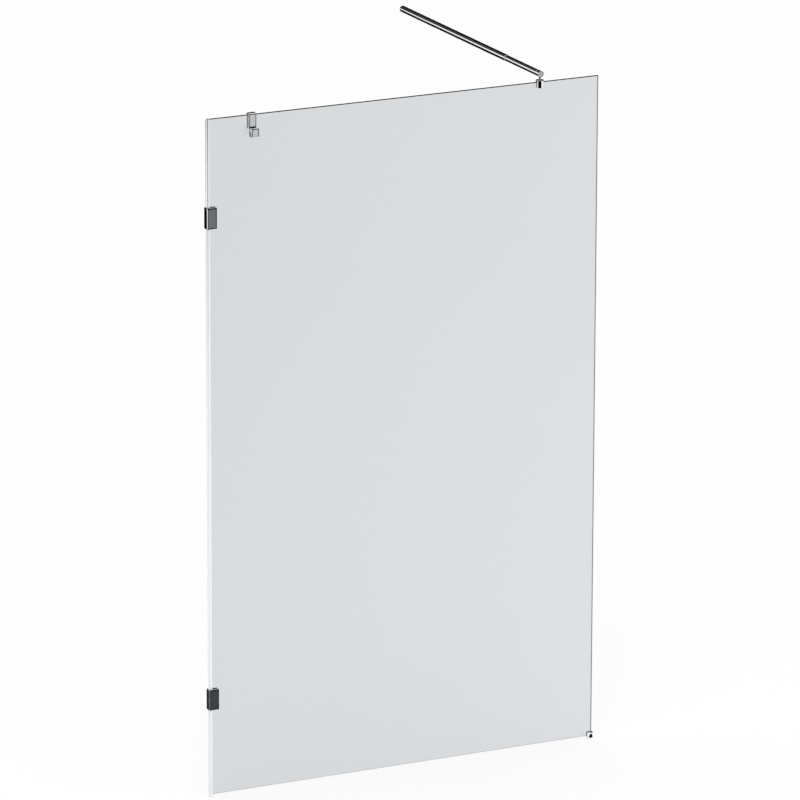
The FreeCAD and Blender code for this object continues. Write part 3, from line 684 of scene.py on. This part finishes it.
def seal_vinyl():
    """The wall seals, with painted shade: grey at the wall and, toward the top, dark where the pane's edge
    shows through the lip, with a lip that dims toward the top.
    """
    base = finishes().vinyl
    finish = drawn_vinyl("seal_vinyl")
    low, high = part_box("glass_panel")
    spot = coordinates(finish, "Object")
    across = remap(finish, spot["X"], (0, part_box("wall_seal_upper")[1].x))
    height = remap(finish, spot["Z"], (low.z, high.z))
    foot, top = [
        ramp(finish, across, [(edge, shaded(base, factors[band])) for edge, band in SEAL_SHADE_BANDS])
        for factors in (SEAL_FOOT_SHADE, SEAL_TOP_SHADE)]
    # Painted shade: the bands darken from the foot to the top, mostly near the top.
    steep = calculate(finish, "POWER", height, SEAL_SHADE_STEEPNESS)
    connect(finish, blended(finish, steep, foot, top), surface(finish)["Base Color"])
    return finish


def black_rubber():
    """Matt gasket sheet."""
    base = finishes().rubber
    finish = new_finish("black_rubber", base, Metallic=0)
    skin = grain(finish, cells=1800, detail=4)
    tint(finish, grain(finish, cells=150), base, 0.7, 1.6)
    roughen(finish, skin, 0.55, 0.8)
    emboss(finish, skin, depth=0.00006)
    return finish


def pale_nylon():
    """Moulded bushes and twist lock."""
    base = finishes().nylon
    finish = new_finish("pale_nylon", base, Metallic=0, Subsurface_Weight=0.1)
    skin = grain(finish, cells=900)
    tint(finish, grain(finish, cells=80), base, 0.93, 1.05)
    roughen(finish, skin, 0.35, 0.5)
    emboss(finish, skin, depth=0.00003)
    return finish


def finish_named(maker):
    """The material of that name, made once."""
    return bpy.data.materials.get(maker.__name__) or maker()


# Pieces

class SCREEN_OT_pane(bpy.types.Operator):
    """Model the toughened glass pane, with its ground edges and the holes for the clamps"""

    bl_idname = "shower_screen.pane"
    bl_label = "Glass Pane"

    def execute(self, context):
        low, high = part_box("glass_panel")
        pane = add_block(low, high)
        edit(pane, "EDGE")
        pick("edges", lambda edge: lies_at(edge, 1, low.y) or lies_at(edge, 1, high.y))
        bpy.ops.mesh.bevel(offset=sizes().glass_arris, offset_type="OFFSET", segments=1, affect="EDGES")
        leave_edit()
        for clamp in CLAMPS:
            cut(pane, *self.hole_tools(clamp, low.y, high.y))
        pane.data.materials.append(finish_named(clear_glass))
        pane.data.materials.append(finish_named(ground_glass_edge))
        edit(pane)
        pick("faces", lambda face: abs(face.normal.y) < SQUARE_ON and face.normal.z > DOWNWARD)
        pane.active_material_index = 1
        bpy.ops.object.material_slot_assign()
        leave_edit()
        finish_piece(pane, "glass_pane", "screen", "glass", None, "glass_panel")
        return {"FINISHED"}

    def hole_tools(self, clamp, front, back):
        low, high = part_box(f"{clamp}_clamp_bushes")
        radius = (high.x - low.x) / 2 + sizes().press_gap
        margin = back - front
        for z in (low.z + radius, high.z - radius):
            yield drill("Y", ((low.x + high.x) / 2, 0, z), radius, front - margin, back + margin)


class SCREEN_OT_wall_seals(bpy.types.Operator):
    """Model the three lengths of clear seal: a channel over the pane's edge and a bulb on the wall"""

    bl_idname = "shower_screen.wall_seals"
    bl_label = "Wall Seals"

    def execute(self, context):
        wanted = sizes()
        glass_low, glass_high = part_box("glass_panel")
        half_wall = wanted.seal_wall / 2
        lip = glass_high.y + wanted.skin_gap + half_wall
        web = glass_low.x - wanted.skin_gap - half_wall
        bulb = web / 2
        bore = bulb - wanted.seal_bulb_wall
        for name in SEALS:
            node = f"wall_seal_{name}"
            low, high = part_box(node)
            path = [(high.x, -lip, 0), (web, -lip, 0), (web, lip, 0), (high.x, lip, 0)]
            seal = bent_strip(path, "Z", low.z, high.z, wanted.seal_wall, wanted.seal_fold)
            soften(seal, wanted.soft_edge)
            tube = turned("Z", (bulb, 0, 0), [
                (low.z, bore), (low.z, bulb), (high.z, bulb), (high.z, bore),
            ], hollow=True, sides=SMALL_SIDES)
            combine(seal, tube, "UNION")
            finish_piece(seal, f"seal_{name}", "screen", "seal", seal_vinyl, node)
        return {"FINISHED"}


class SCREEN_OT_clamp_plates(bpy.types.Operator):
    """Model the bevelled front plates of the two wall clamps"""

    bl_idname = "shower_screen.clamp_plates"
    bl_label = "Clamp Front Plates"

    def execute(self, context):
        for clamp in CLAMPS:
            node = f"{clamp}_clamp_front_plate"
            low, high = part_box(node)
            plate = add_block(low, high)
            edit(plate, "EDGE")
            pick("edges", lambda edge: lies_at(edge, 1, low.y))
            bpy.ops.mesh.bevel(offset=sizes().clamp_bevel, segments=1, affect="EDGES")
            leave_edit()
            soften(plate, sizes().fine_edge)
            finish_piece(plate, f"{clamp}_front_plate", "screen", "chrome", polished_chrome, node)
        return {"FINISHED"}


class SCREEN_OT_clamp_brackets(bpy.types.Operator):
    """Model the angled wall brackets of the two clamps, with their countersunk holes"""

    bl_idname = "shower_screen.clamp_brackets"
    bl_label = "Clamp Brackets"

    def execute(self, context):
        for clamp in CLAMPS:
            self.make_bracket(clamp)
        return {"FINISHED"}

    def make_bracket(self, clamp):
        node = f"{clamp}_clamp_bracket"
        low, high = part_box(node)
        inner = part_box(f"{clamp}_clamp_rear_gasket")[1].y
        leaf = high.y - inner
        bracket = add_block(low, (leaf, inner, high.z))
        edit(bracket)
        pick("faces", lambda face: face.normal.y > SQUARE_ON)
        extrude((0, leaf, 0))
        pick("faces", lambda face: face.normal.x > SQUARE_ON and face.calc_center_median().y > inner)
        extrude((high.x - leaf, 0, 0))
        bpy.ops.mesh.select_mode(type="EDGE")
        pick("edges", lambda edge: lies_at(edge, 1, high.y) and not lies_at(edge, 0, low.x)
             and not lies_at(edge, 0, leaf))
        bpy.ops.mesh.bevel(offset=sizes().clamp_bevel, segments=1, affect="EDGES")
        leave_edit()
        soften(bracket, sizes().fine_edge)
        cut(bracket, *self.hole_tools(clamp, (low.z + high.z) / 2, leaf, inner, high.y))
        finish_piece(bracket, f"{clamp}_bracket", "screen", "chrome", polished_chrome, node)

    def hole_tools(self, clamp, centre, leaf, inner, outer):
        wanted = sizes()
        for side in (-1, 1):
            spot = (0, 0, centre + side * wanted.wall_hole_spacing / 2)
            yield sink_tool("X", spot, wanted.wall_hole, wanted.countersink, 0, leaf)
        for x, z in clamp_screw_places(clamp):
            yield sink_tool("Y", (x, 0, z), wanted.clamp_hole, wanted.countersink, inner, outer)


def clamp_screw_places(clamp):
    """X and Z of a clamp's two screws, from the box round their heads."""
    low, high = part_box(f"{clamp}_clamp_screws")
    head = (high.x - low.x) / 2
    return [(low.x + head, low.z + head), (low.x + head, high.z - head)]


class SCREEN_OT_clamp_gaskets(bpy.types.Operator):
    """Model the rubber sheets between the clamps and the pane"""

    bl_idname = "shower_screen.clamp_gaskets"
    bl_label = "Clamp Gaskets"

    def execute(self, context):
        for clamp in CLAMPS:
            for side in ("front", "rear"):
                self.make_gasket(clamp, side)
        return {"FINISHED"}

    def make_gasket(self, clamp, side):
        node = f"{clamp}_clamp_{side}_gasket"
        low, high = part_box(node)
        sheet = add_block(low, high)
        soften(sheet, sizes().soft_edge)
        margin = high.y - low.y
        for x, z in clamp_screw_places(clamp):
            cut(sheet, drill("Y", (x, 0, z), sizes().clamp_hole, low.y - margin, high.y + margin))
        finish_piece(sheet, f"{clamp}_{side}_rubber", "screen", "rubber", black_rubber, node)


class SCREEN_OT_clamp_screws(bpy.types.Operator):
    """Model the countersunk screws behind the clamps, with their hexagon sockets"""

    bl_idname = "shower_screen.clamp_screws"
    bl_label = "Clamp Screws"

    def execute(self, context):
        for clamp in CLAMPS:
            node = f"{clamp}_clamp_screws"
            low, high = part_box(node)
            (x, z), (_, next_z) = clamp_screw_places(clamp)
            screw = self.make_screw((x, 0, z), low.y, high.y, (high.x - low.x) / 2)
            pair = join(screw, copy_moved(screw, (0, 0, next_z - z)))
            finish_piece(pair, f"{clamp}_screw_pair", "screen", "steel", brushed_steel, node)
        return {"FINISHED"}

    def make_screw(self, spot, tip, top, head):
        wanted = sizes()
        shank = wanted.screw_shank
        depth = wanted.key_depth
        screw = turned("Y", spot, [
            (tip, shank - wanted.soft_edge), (tip + wanted.soft_edge, shank), (top - head + shank, shank),
            (top - wanted.fine_edge, head - wanted.fine_edge / 2), (top, head - wanted.fine_edge),
        ], sides=SMALL_SIDES)
        cut(screw, hexagon_tool("Y", spot, wanted.screw_key, top - depth, top + depth))
        return screw


def make_lining(node, name, body):
    """A soft channel over the pane's top edge, its edges rounded by no more than a fifth of its wall."""
    low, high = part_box(node)
    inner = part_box("glass_panel")[1].y + sizes().skin_gap
    wall = high.y - inner
    side = inner + wall / 2
    top = high.z - wall / 2
    path = [(0, side, low.z), (0, side, top), (0, -side, top), (0, -side, low.z)]
    lining = bent_strip(path, "X", low.x, high.x, wall, wall / 2)
    soften(lining, min(wall / 5, sizes().soft_edge))
    finish_piece(lining, name, body, "seal", clear_vinyl, node)


class SCREEN_OT_robe_hook(bpy.types.Operator):
    """Model the bent strip of the robe hook and its rubber lining"""

    bl_idname = "shower_screen.robe_hook"
    bl_label = "Robe Hook"

    def execute(self, context):
        wanted = sizes()
        low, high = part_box("robe_hook")
        half = wanted.hook_strip / 2
        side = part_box("robe_hook_liner")[1].y + half
        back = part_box("glass_panel")[1].z - wanted.hook_back
        saddle = high.z - half
        ledge = low.z + half
        tip = low.y + half
        path = [
            (0, side, back), (0, side, saddle), (0, -side, saddle),
            (0, -side, ledge), (0, tip, ledge), (0, tip, low.z + wanted.hook_tip),
        ]
        strip = bent_strip(path, "X", low.x, high.x, wanted.hook_strip, wanted.hook_fold)
        soften(strip, wanted.hook_edge, EDGE_SEGMENTS + 1)
        finish_piece(strip, "hook_strip", "hook", "chrome", polished_chrome, "robe_hook")
        make_lining("robe_hook_liner", "hook_lining", "hook")
        return {"FINISHED"}


class SCREEN_OT_bar_clamp(bpy.types.Operator):
    """Model the slotted round clamp of the support bar and its soft lining"""

    bl_idname = "shower_screen.bar_clamp"
    bl_label = "Bar Clamp"

    def execute(self, context):
        wanted = sizes()
        low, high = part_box("bar_clamp_body")
        liner_low, liner_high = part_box("bar_clamp_liner")
        grub_low, grub_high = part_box("bar_clamp_grub_screw")
        radius = (high.x - low.x) / 2
        x = (low.x + high.x) / 2
        rim = wanted.rim_bevel
        block = turned("Z", (x, 0, 0), [
            (low.z, radius - rim), (low.z + rim, radius), (high.z - rim, radius), (high.z, radius - rim),
        ])
        cut(block, add_block(
            (low.x - rim, liner_low.y, low.z - rim), (high.x + rim, liner_high.y, liner_high.z)))
        soften(block, wanted.fine_edge)
        grub = (grub_high.x - grub_low.x) / 2 + wanted.press_gap
        grub_spot = (x, 0, (grub_low.z + grub_high.z) / 2)
        pin = wanted.pin_radius + wanted.press_gap
        cut(
            block,
            drill("Y", grub_spot, grub, 0, radius * 2),
            drill("Z", (x, 0, 0), pin, liner_low.z, high.z + rim),
        )
        finish_piece(block, "bar_clamp_block", "screen", "chrome", polished_chrome, "bar_clamp_body")
        make_lining("bar_clamp_liner", "bar_clamp_lining", "screen")
        return {"FINISHED"}


class SCREEN_OT_swivel_pin(bpy.types.Operator):
    """Model the upright pin that the bar turns on"""

    bl_idname = "shower_screen.swivel_pin"
    bl_label = "Swivel Pin"

    def execute(self, context):
        wanted = sizes()
        low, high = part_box("swivel_pin")
        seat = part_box("bar_clamp_body")[1].z
        collar = (high.x - low.x) / 2
        radius = wanted.pin_radius
        edge = wanted.fine_edge
        collar_top = seat + wanted.pin_collar
        pin = turned("Z", ((low.x + high.x) / 2, 0, 0), [
            (low.z, radius), (seat, radius), (seat, collar - edge), (seat + edge, collar),
            (collar_top - edge, collar), (collar_top, collar - edge), (collar_top, radius + edge),
            (collar_top + edge, radius), (high.z - edge, radius), (high.z, radius - edge),
        ], sides=SMALL_SIDES)
        finish_piece(pin, "bar_pin", "screen", "steel", polished_steel, "swivel_pin")
        return {"FINISHED"}


def bar_axis():
    """The bar's centre line, as a point on it."""
    low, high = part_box("bar_inner_tube")
    return Vector(((low.x + high.x) / 2, 0, (low.z + high.z) / 2))


def rounded_end(end, radius, rounding, steps):
    """Stations of a rounded end, from the flat of the end out to the side."""
    turns = [QUARTER * step / steps for step in range(steps + 1)]
    return [(end + rounding * (1 - math.sin(turn)), radius - rounding * (1 - math.cos(turn)))
            for turn in reversed(turns)]


class SCREEN_OT_bar_head(bpy.types.Operator):
    """Model the rounded head of the bar, bored for its pin"""

    bl_idname = "shower_screen.bar_head"
    bl_label = "Bar Head"

    def execute(self, context):
        wanted = sizes()
        low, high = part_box("bar_head")
        tube_low, tube_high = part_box("bar_inner_tube")
        axis = bar_axis()
        radius = (tube_high.x - tube_low.x) / 2
        spigot = radius - wanted.inner_wall - wanted.press_gap
        edge = wanted.fine_edge
        head = turned("Y", axis, [
            *rounded_end(low.y, radius, wanted.head_round, 2 * EDGE_SEGMENTS),
            (tube_low.y - edge, radius), (tube_low.y, radius - edge), (tube_low.y, spigot),
            (high.y - edge, spigot), (high.y, spigot - edge),
        ])
        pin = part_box("swivel_pin")[1].z - axis.z + wanted.press_gap
        bore = wanted.pin_radius + wanted.press_gap
        lock_low, lock_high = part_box("bar_head_lock_screw")
        lock = (lock_high.z - lock_low.z) / 2 + wanted.press_gap
        cut(head, drill("Z", axis, bore, -2 * radius, pin), drill("X", axis, lock, 0, 2 * radius))
        finish_piece(head, "bar_end_head", "bar_inner", "chrome", polished_chrome, "bar_head")
        return {"FINISHED"}


def wall_grub_drill():
    """A cutter up into the bar for the grub screw at its wall end."""
    low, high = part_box("bar_wall_grub_screw")
    spot = bar_axis()
    spot.y = (low.y + high.y) / 2
    return drill("Z", spot, (high.x - low.x) / 2 + sizes().press_gap, 2 * (low.z - spot.z), 0)


class SCREEN_OT_bar_tubes(bpy.types.Operator):
    """Model the two telescopic tubes of the bar"""

    bl_idname = "shower_screen.bar_tubes"
    bl_label = "Bar Tubes"

    def execute(self, context):
        inner = self.make_tube("bar_inner_tube", sizes().inner_wall)
        finish_piece(inner, "sliding_tube", "bar_inner", "chrome", polished_chrome, "bar_inner_tube")
        outer = self.make_tube("bar_outer_tube", sizes().outer_wall)
        cut(outer, wall_grub_drill())
        finish_piece(outer, "outer_tube", "bar_outer", "chrome", polished_chrome, "bar_outer_tube")
        return {"FINISHED"}

    def make_tube(self, node, wall):
        low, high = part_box(node)
        radius = (high.x - low.x) / 2
        bore = radius - wall
        edge = sizes().tube_edge
        return turned("Y", bar_axis(), [
            (low.y, bore), (low.y, radius - edge), (low.y + edge, radius),
            (high.y - edge, radius), (high.y, radius - edge), (high.y, bore),
        ], hollow=True)


class SCREEN_OT_wall_insert(bpy.types.Operator):
    """Model the bored plug in the far end of the bar"""

    bl_idname = "shower_screen.wall_insert"
    bl_label = "Wall Insert"

    def execute(self, context):
        low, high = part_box("bar_wall_insert")
        radius = (high.x - low.x) / 2
        bore = sizes().insert_bore
        edge = sizes().fine_edge
        plug = turned("Y", bar_axis(), [
            (low.y, bore), (low.y, radius - edge), (low.y + edge, radius), (high.y - edge, radius),
            (high.y, radius - edge), (high.y, bore + edge), (high.y - edge, bore),
        ], hollow=True)
        cut(plug, wall_grub_drill())
        finish_piece(plug, "wall_end_plug", "bar_outer", "steel", brushed_steel, "bar_wall_insert")
        return {"FINISHED"}


class SCREEN_OT_grub_screws(bpy.types.Operator):
    """Model the headless screws of the bar, with their hexagon sockets"""

    bl_idname = "shower_screen.grub_screws"
    bl_label = "Grub Screws"

    def execute(self, context):
        self.make_grub("bar_clamp_grub_screw", "clamp_grub", "screen", "Y", 1)
        self.make_grub("bar_head_lock_screw", "head_grub", "bar_inner", "X", 1)
        self.make_grub("bar_wall_grub_screw", "wall_end_grub", "bar_outer", "Z", -1)
        return {"FINISHED"}

    def make_grub(self, node, name, body, axis, way):
        """A stud whose socket faces along the axis (1) or against it (-1)."""
        wanted = sizes()
        low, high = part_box(node)
        index = "XYZ".index(axis)
        radius = (high[index - 1] - low[index - 1]) / 2
        centre = (low + high) / 2
        centre[index] = 0
        tip, top = (low[index], high[index]) if way > 0 else (high[index], low[index])
        edge = way * wanted.soft_edge
        inner = radius - wanted.soft_edge
        stud = turned(axis, centre, [
            (tip, inner), (tip + edge, radius), (top - edge, radius), (top, inner),
        ], sides=SMALL_SIDES)
        depth = way * wanted.key_depth
        cut(stud, hexagon_tool(axis, centre, wanted.grub_key, top - depth, top + depth))
        finish_piece(stud, name, body, "steel", brushed_steel, node)


class SCREEN_OT_foot(bpy.types.Operator):
    """Model the slotted foot under the pane's free corner and its soft shoe"""

    bl_idname = "shower_screen.foot"
    bl_label = "Foot"

    def execute(self, context):
        wanted = sizes()
        low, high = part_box("foot_body")
        shoe_low, shoe_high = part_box("foot_liner")
        radius = (high.x - low.x) / 2
        x = (low.x + high.x) / 2
        rim = wanted.rim_bevel
        edge = wanted.fine_edge
        block = turned("Z", (x, 0, 0), [
            (low.z, radius - edge), (low.z + edge, radius), (high.z - rim, radius), (high.z, radius - rim),
        ])
        cut(block, add_block(
            (low.x - rim, shoe_low.y, shoe_low.z), (shoe_high.x, shoe_high.y, high.z + rim)))
        soften(block, edge)
        cut(block, drill("Z", (x, 0, 0), wanted.floor_hole, low.z - rim, shoe_low.z + rim))
        finish_piece(block, "foot_block", "screen", "chrome", polished_chrome, "foot_body")
        self.make_shoe(shoe_low, shoe_high)
        return {"FINISHED"}

    def make_shoe(self, low, high):
        glass_low, glass_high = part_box("glass_panel")
        gap = sizes().skin_gap
        shoe = add_block(low, high)
        soften(shoe, sizes().soft_edge / 2)
        cut(shoe, add_block(
            (low.x - gap, glass_low.y - gap, glass_low.z - gap),
            (glass_high.x + gap, glass_high.y + gap, high.z + gap)))
        finish_piece(shoe, "foot_shoe", "screen", "seal", clear_vinyl, "foot_liner")


class SCREEN_OT_inner_pieces(bpy.types.Operator):
    """Finish the solids that are shut in: the bushes and the twist lock"""

    bl_idname = "shower_screen.inner_pieces"
    bl_label = "Inner Pieces"

    def execute(self, context):
        for node in ("lower_clamp_bushes", "upper_clamp_bushes", "twist_lock_plug", "twist_lock_cam"):
            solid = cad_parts[node]
            solid.data.materials.clear()
            solid.data.materials.append(finish_named(pale_nylon))
        return {"FINISHED"}


class SCREEN_OT_stage(bpy.types.Operator):
    """Set up the floor, the pale surroundings, the lamp, the dark cards and the camera"""

    bl_idname = "shower_screen.stage"
    bl_label = "Stage"

    def execute(self, context):
        low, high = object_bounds()
        self.make_floor(low.z)
        self.make_world(context.scene)
        self.make_lamp(context.scene, (low + high) / 2)
        self.make_camera(context.scene)
        self.make_cards()
        eye = context.scene.camera.matrix_world.translation
        self.make_face_cards(eye)
        self.make_bevel_cards(eye)
        self.make_upright_cards(eye)
        self.make_back_cards()
        context.scene.view_settings.view_transform = "Standard"
        return {"FINISHED"}

    def make_floor(self, level):
        wanted = stage_settings()
        floor = add_primitive(
            bpy.ops.mesh.primitive_plane_add, size=wanted.floor_size, location=(0, 0, level))
        floor.name = "stage_floor"
        paper, face = self.bare_material("pale_floor")
        matt = add_node(paper, "ShaderNodeBsdfDiffuse")
        glow = add_node(paper, "ShaderNodeEmission")
        both = add_node(paper, "ShaderNodeAddShader")
        seen = seen_rays(paper)
        grey = remap(paper, seen, target=(wanted.floor_white, 1 - wanted.floor_glow))
        connect(paper, grey, matt.inputs["Color"])
        connect(paper, remap(paper, seen, target=(0, wanted.floor_glow)), glow.inputs["Strength"])
        connect(paper, matt.outputs[0], both.inputs[0])
        connect(paper, glow.outputs[0], both.inputs[1])
        connect(paper, both.outputs[0], face)
        floor.data.materials.append(paper)
        floor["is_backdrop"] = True

    def bare_material(self, name):
        """A material with no shader yet, and the socket that takes one."""
        material = bpy.data.materials.new(name)
        material.use_nodes = True
        material.node_tree.nodes.clear()
        return material, add_node(material, "ShaderNodeOutputMaterial").inputs["Surface"]

    def make_world(self, scene):
        world = bpy.data.worlds.new("pale_surroundings")
        world.use_nodes = True
        sky = world.node_tree.nodes["Background"].inputs
        sky["Color"].default_value = WHITE
        light = remap(world, seen_rays(world), target=(stage_settings().dome, 1))
        connect(world, light, sky["Strength"])
        scene.world = world

    def make_lamp(self, scene, middle_of_screen):
        lamp = bpy.data.lights.new("key", "AREA")
        lamp.energy = stage_settings().key_power
        lamp.shape = "SQUARE"
        lamp.size = KEY_SIZE
        key = bpy.data.objects.new("key", lamp)
        key.location = KEY_PLACE
        key.rotation_euler = (middle_of_screen - key.location).to_track_quat("-Z", "Y").to_euler()
        key.visible_camera = False
        scene.collection.objects.link(key)

    def make_cards(self):
        for name, centre, size, turn, shade, fade in CARDS:
            radians = [math.radians(part) for part in turn]
            self.make_card(name, centre, size, radians, WHITE, shade, (1, 0, fade))

    def make_face_cards(self, eye):
        """Puts a card where the eye sees it mirrored in each of the flat faces that look along -Y."""
        for node, shine, shade, rim in FACE_CARDS:
            low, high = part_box(node)
            corner = Vector((high.x, low.y, high.z))
            self.make_face_card(f"card_{node}", eye, low, corner, shine, shade, rim)
        low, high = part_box("robe_hook")
        tip_top = low.z + sizes().hook_tip
        faces = {"tip": (low.y, low.z, tip_top), "strip": (-high.y, tip_top, high.z)}
        for part, (y, bottom, top) in faces.items():
            self.make_face_card(
                f"card_hook_{part}", eye, Vector((low.x, y, bottom)), Vector((high.x, y, top)),
                WHITE, HOOK_SHADE, HOOK_RIM)

    def make_face_card(self, name, eye, low, high, shine, shade, rim):
        spot = (low + high) / 2
        view = spot - eye
        centre = spot + view * FACE_CARD_DISTANCE / view.y
        centre.y = spot.y - FACE_CARD_DISTANCE
        solid = FACE_CARD_MARGIN / 2 + rim if rim else 0
        size = self.card_size(low, high)
        self.make_card(name, centre, size, (QUARTER, 0, 0), shine, shade, (DARK, solid, rim / 2))

    def card_size(self, low, high):
        return (high.x - low.x + FACE_CARD_MARGIN, high.z - low.z + FACE_CARD_MARGIN)

    def make_bevel_cards(self, eye):
        """Puts a dark strip where the eye sees it mirrored in each of the dark bevels of the clamps."""
        for clamp, sides in DARK_BEVELS.items():
            low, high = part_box(f"{clamp}_clamp_front_plate")
            inset = sizes().clamp_bevel / 2
            for side in sides:
                facing, along = BEVELS[side]
                spot = (low + high) / 2
                spot.x += facing[0] * ((high.x - low.x) / 2 - inset)
                spot.y = low.y + inset
                spot.z += facing[2] * ((high.z - low.z) / 2 - inset)
                size = (AXES[along].dot(high - low), BEVEL_STRIP)
                name = f"card_{clamp}_clamp_{side}"
                self.make_strip(name, eye, spot, Vector(facing).normalized(), along, size)

    def make_upright_cards(self, eye):
        """Puts a dark strip where the eye sees it mirrored in the bar clamp, and one for its pin."""
        low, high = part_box("bar_clamp_body")
        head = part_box("bar_head")[0].z
        for name, radius, bottom, top, width in (
            ("card_bar_clamp", (high.x - low.x) / 2, low.z, high.z, CLAMP_STRIP),
            ("card_swivel_pin", sizes().pin_radius, high.z, head, PIN_STRIP),
        ):
            spot = (low + high) / 2
            spot.z = (bottom + top) / 2
            facing = ((eye - spot) * Vector((1, 1, 0))).normalized()
            self.make_strip(name, eye, spot + facing * radius, facing, "Z", (top - bottom, width))

    def make_strip(self, name, eye, spot, facing, along, size):
        """Puts a dark strip where the eye sees it mirrored at a spot that faces that way."""
        away = (spot - eye).normalized().reflect(facing)
        across = AXES[along].cross(away).normalized()
        turn = Matrix((AXES[along], across, AXES[along].cross(across))).transposed().to_euler()
        self.make_card(name, spot + STRIP_DISTANCE * away, size, turn, WHITE, DARK)

    def make_back_cards(self):
        """Puts a card close behind each clamp, for the rear leaf to reflect in views from behind."""
        for clamp in CLAMPS:
            low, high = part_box(f"{clamp}_clamp_bracket")
            centre = (low + high) / 2
            centre.y = high.y + FACE_CARD_DISTANCE
            size = self.card_size(low, high)
            self.make_card(f"card_{clamp}_clamp_back", centre, size, (QUARTER, 0, 0), COOL, BACK_SHADE)

    def make_card(self, name, centre, size, turn, shine, shade, rim=(1, 0, 0)):
        """Makes a card whose rim has another brightness, so wide and fading over so much more."""
        rim_shade, solid, fade = rim
        card = add_primitive(
            bpy.ops.mesh.primitive_plane_add, (*size, 1), size=1, location=centre, rotation=turn)
        card.name = name
        material, face = self.bare_material(name)
        glow = add_node(material, "ShaderNodeEmission")
        glow.inputs["Color"].default_value = shine
        connect(material, glow.outputs[0], face)
        if fade:
            edge = self.rim_of_card(material, size, solid, fade)
            connect(material, remap(material, edge, target=(shade, rim_shade)), glow.inputs["Strength"])
        else:
            glow.inputs["Strength"].default_value = shade
        card.data.materials.append(material)
        for ray in ("camera", "diffuse", "transmission", "shadow", "volume_scatter"):
            setattr(card, f"visible_{ray}", False)
        card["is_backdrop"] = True

    def rim_of_card(self, material, size, solid, fade):
        """1 along a card's edges, falling to 0 toward its middle."""
        edges = []
        for spot, span in zip(coordinates(material, "UV"), size):
            away = calculate(material, "ABSOLUTE", calculate(material, "SUBTRACT", spot, HALF))
            edges.append(remap(material, away, (HALF - (solid + fade) / span, HALF - solid / span)))
        return calculate(material, "MAXIMUM", *edges)

    def make_camera(self, scene):
        wanted = stage_settings()
        turn, lift, roll = wanted.azimuth, wanted.elevation, wanted.roll
        right = Vector((math.cos(turn), math.sin(turn), 0))
        back = Vector((math.sin(turn) * math.cos(lift), -math.cos(turn) * math.cos(lift), math.sin(lift)))
        up = back.cross(right)
        side = math.cos(roll) * right + math.sin(roll) * up
        top = math.cos(roll) * up - math.sin(roll) * right
        lens = bpy.data.cameras.new("camera")
        lens.sensor_width = SENSOR_WIDTH
        lens.lens = wanted.focal_length
        lens.clip_end = CAMERA_REACH
        camera = bpy.data.objects.new("camera", lens)
        camera.matrix_world = Matrix.Translation(Vector(wanted.aim) + wanted.distance * back) @ Matrix(
            (side, top, back)).transposed().to_4x4()
        scene.collection.objects.link(camera)
        scene.camera = camera


STEPS = (
    SCREEN_OT_pane, SCREEN_OT_wall_seals, SCREEN_OT_clamp_plates, SCREEN_OT_clamp_brackets,
    SCREEN_OT_clamp_gaskets, SCREEN_OT_clamp_screws, SCREEN_OT_robe_hook, SCREEN_OT_bar_clamp,
    SCREEN_OT_swivel_pin, SCREEN_OT_bar_head, SCREEN_OT_bar_tubes, SCREEN_OT_wall_insert,
    SCREEN_OT_grub_screws, SCREEN_OT_foot, SCREEN_OT_inner_pieces, SCREEN_OT_stage,
)
GROUPS = {"screen_sizes": ScreenSizes, "screen_finishes": ScreenFinishes, "screen_stage": ScreenStage}


class SCREEN_PT_pieces(bpy.types.Panel):
    """Lists the pieces, their sizes and their finishes"""

    bl_idname = "SCREEN_PT_pieces"
    bl_label = "Shower Screen"
    bl_space_type = "VIEW_3D"
    bl_region_type = "UI"
    bl_category = "Shower Screen"

    def draw(self, context):
        for step in STEPS:
            self.layout.operator(step.bl_idname)
        for group in (sizes(), finishes(), stage_settings()):
            box = self.layout.box()
            for name in group.__annotations__:
                box.prop(group, name)


CLASSES = (*GROUPS.values(), *STEPS, SCREEN_PT_pieces)


def register():
    for group in CLASSES:
        bpy.utils.register_class(group)
    for name, group in GROUPS.items():
        setattr(bpy.types.Scene, name, bpy.props.PointerProperty(type=group))


def unregister():
    for name in GROUPS:
        delattr(bpy.types.Scene, name)
    for group in reversed(CLASSES):
        bpy.utils.unregister_class(group)


def main():
    register()
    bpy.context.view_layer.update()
    for step in STEPS:
        group, name = step.bl_idname.split(".")
        getattr(getattr(bpy.ops, group), name)()


if __name__ == "__main__":
    main()
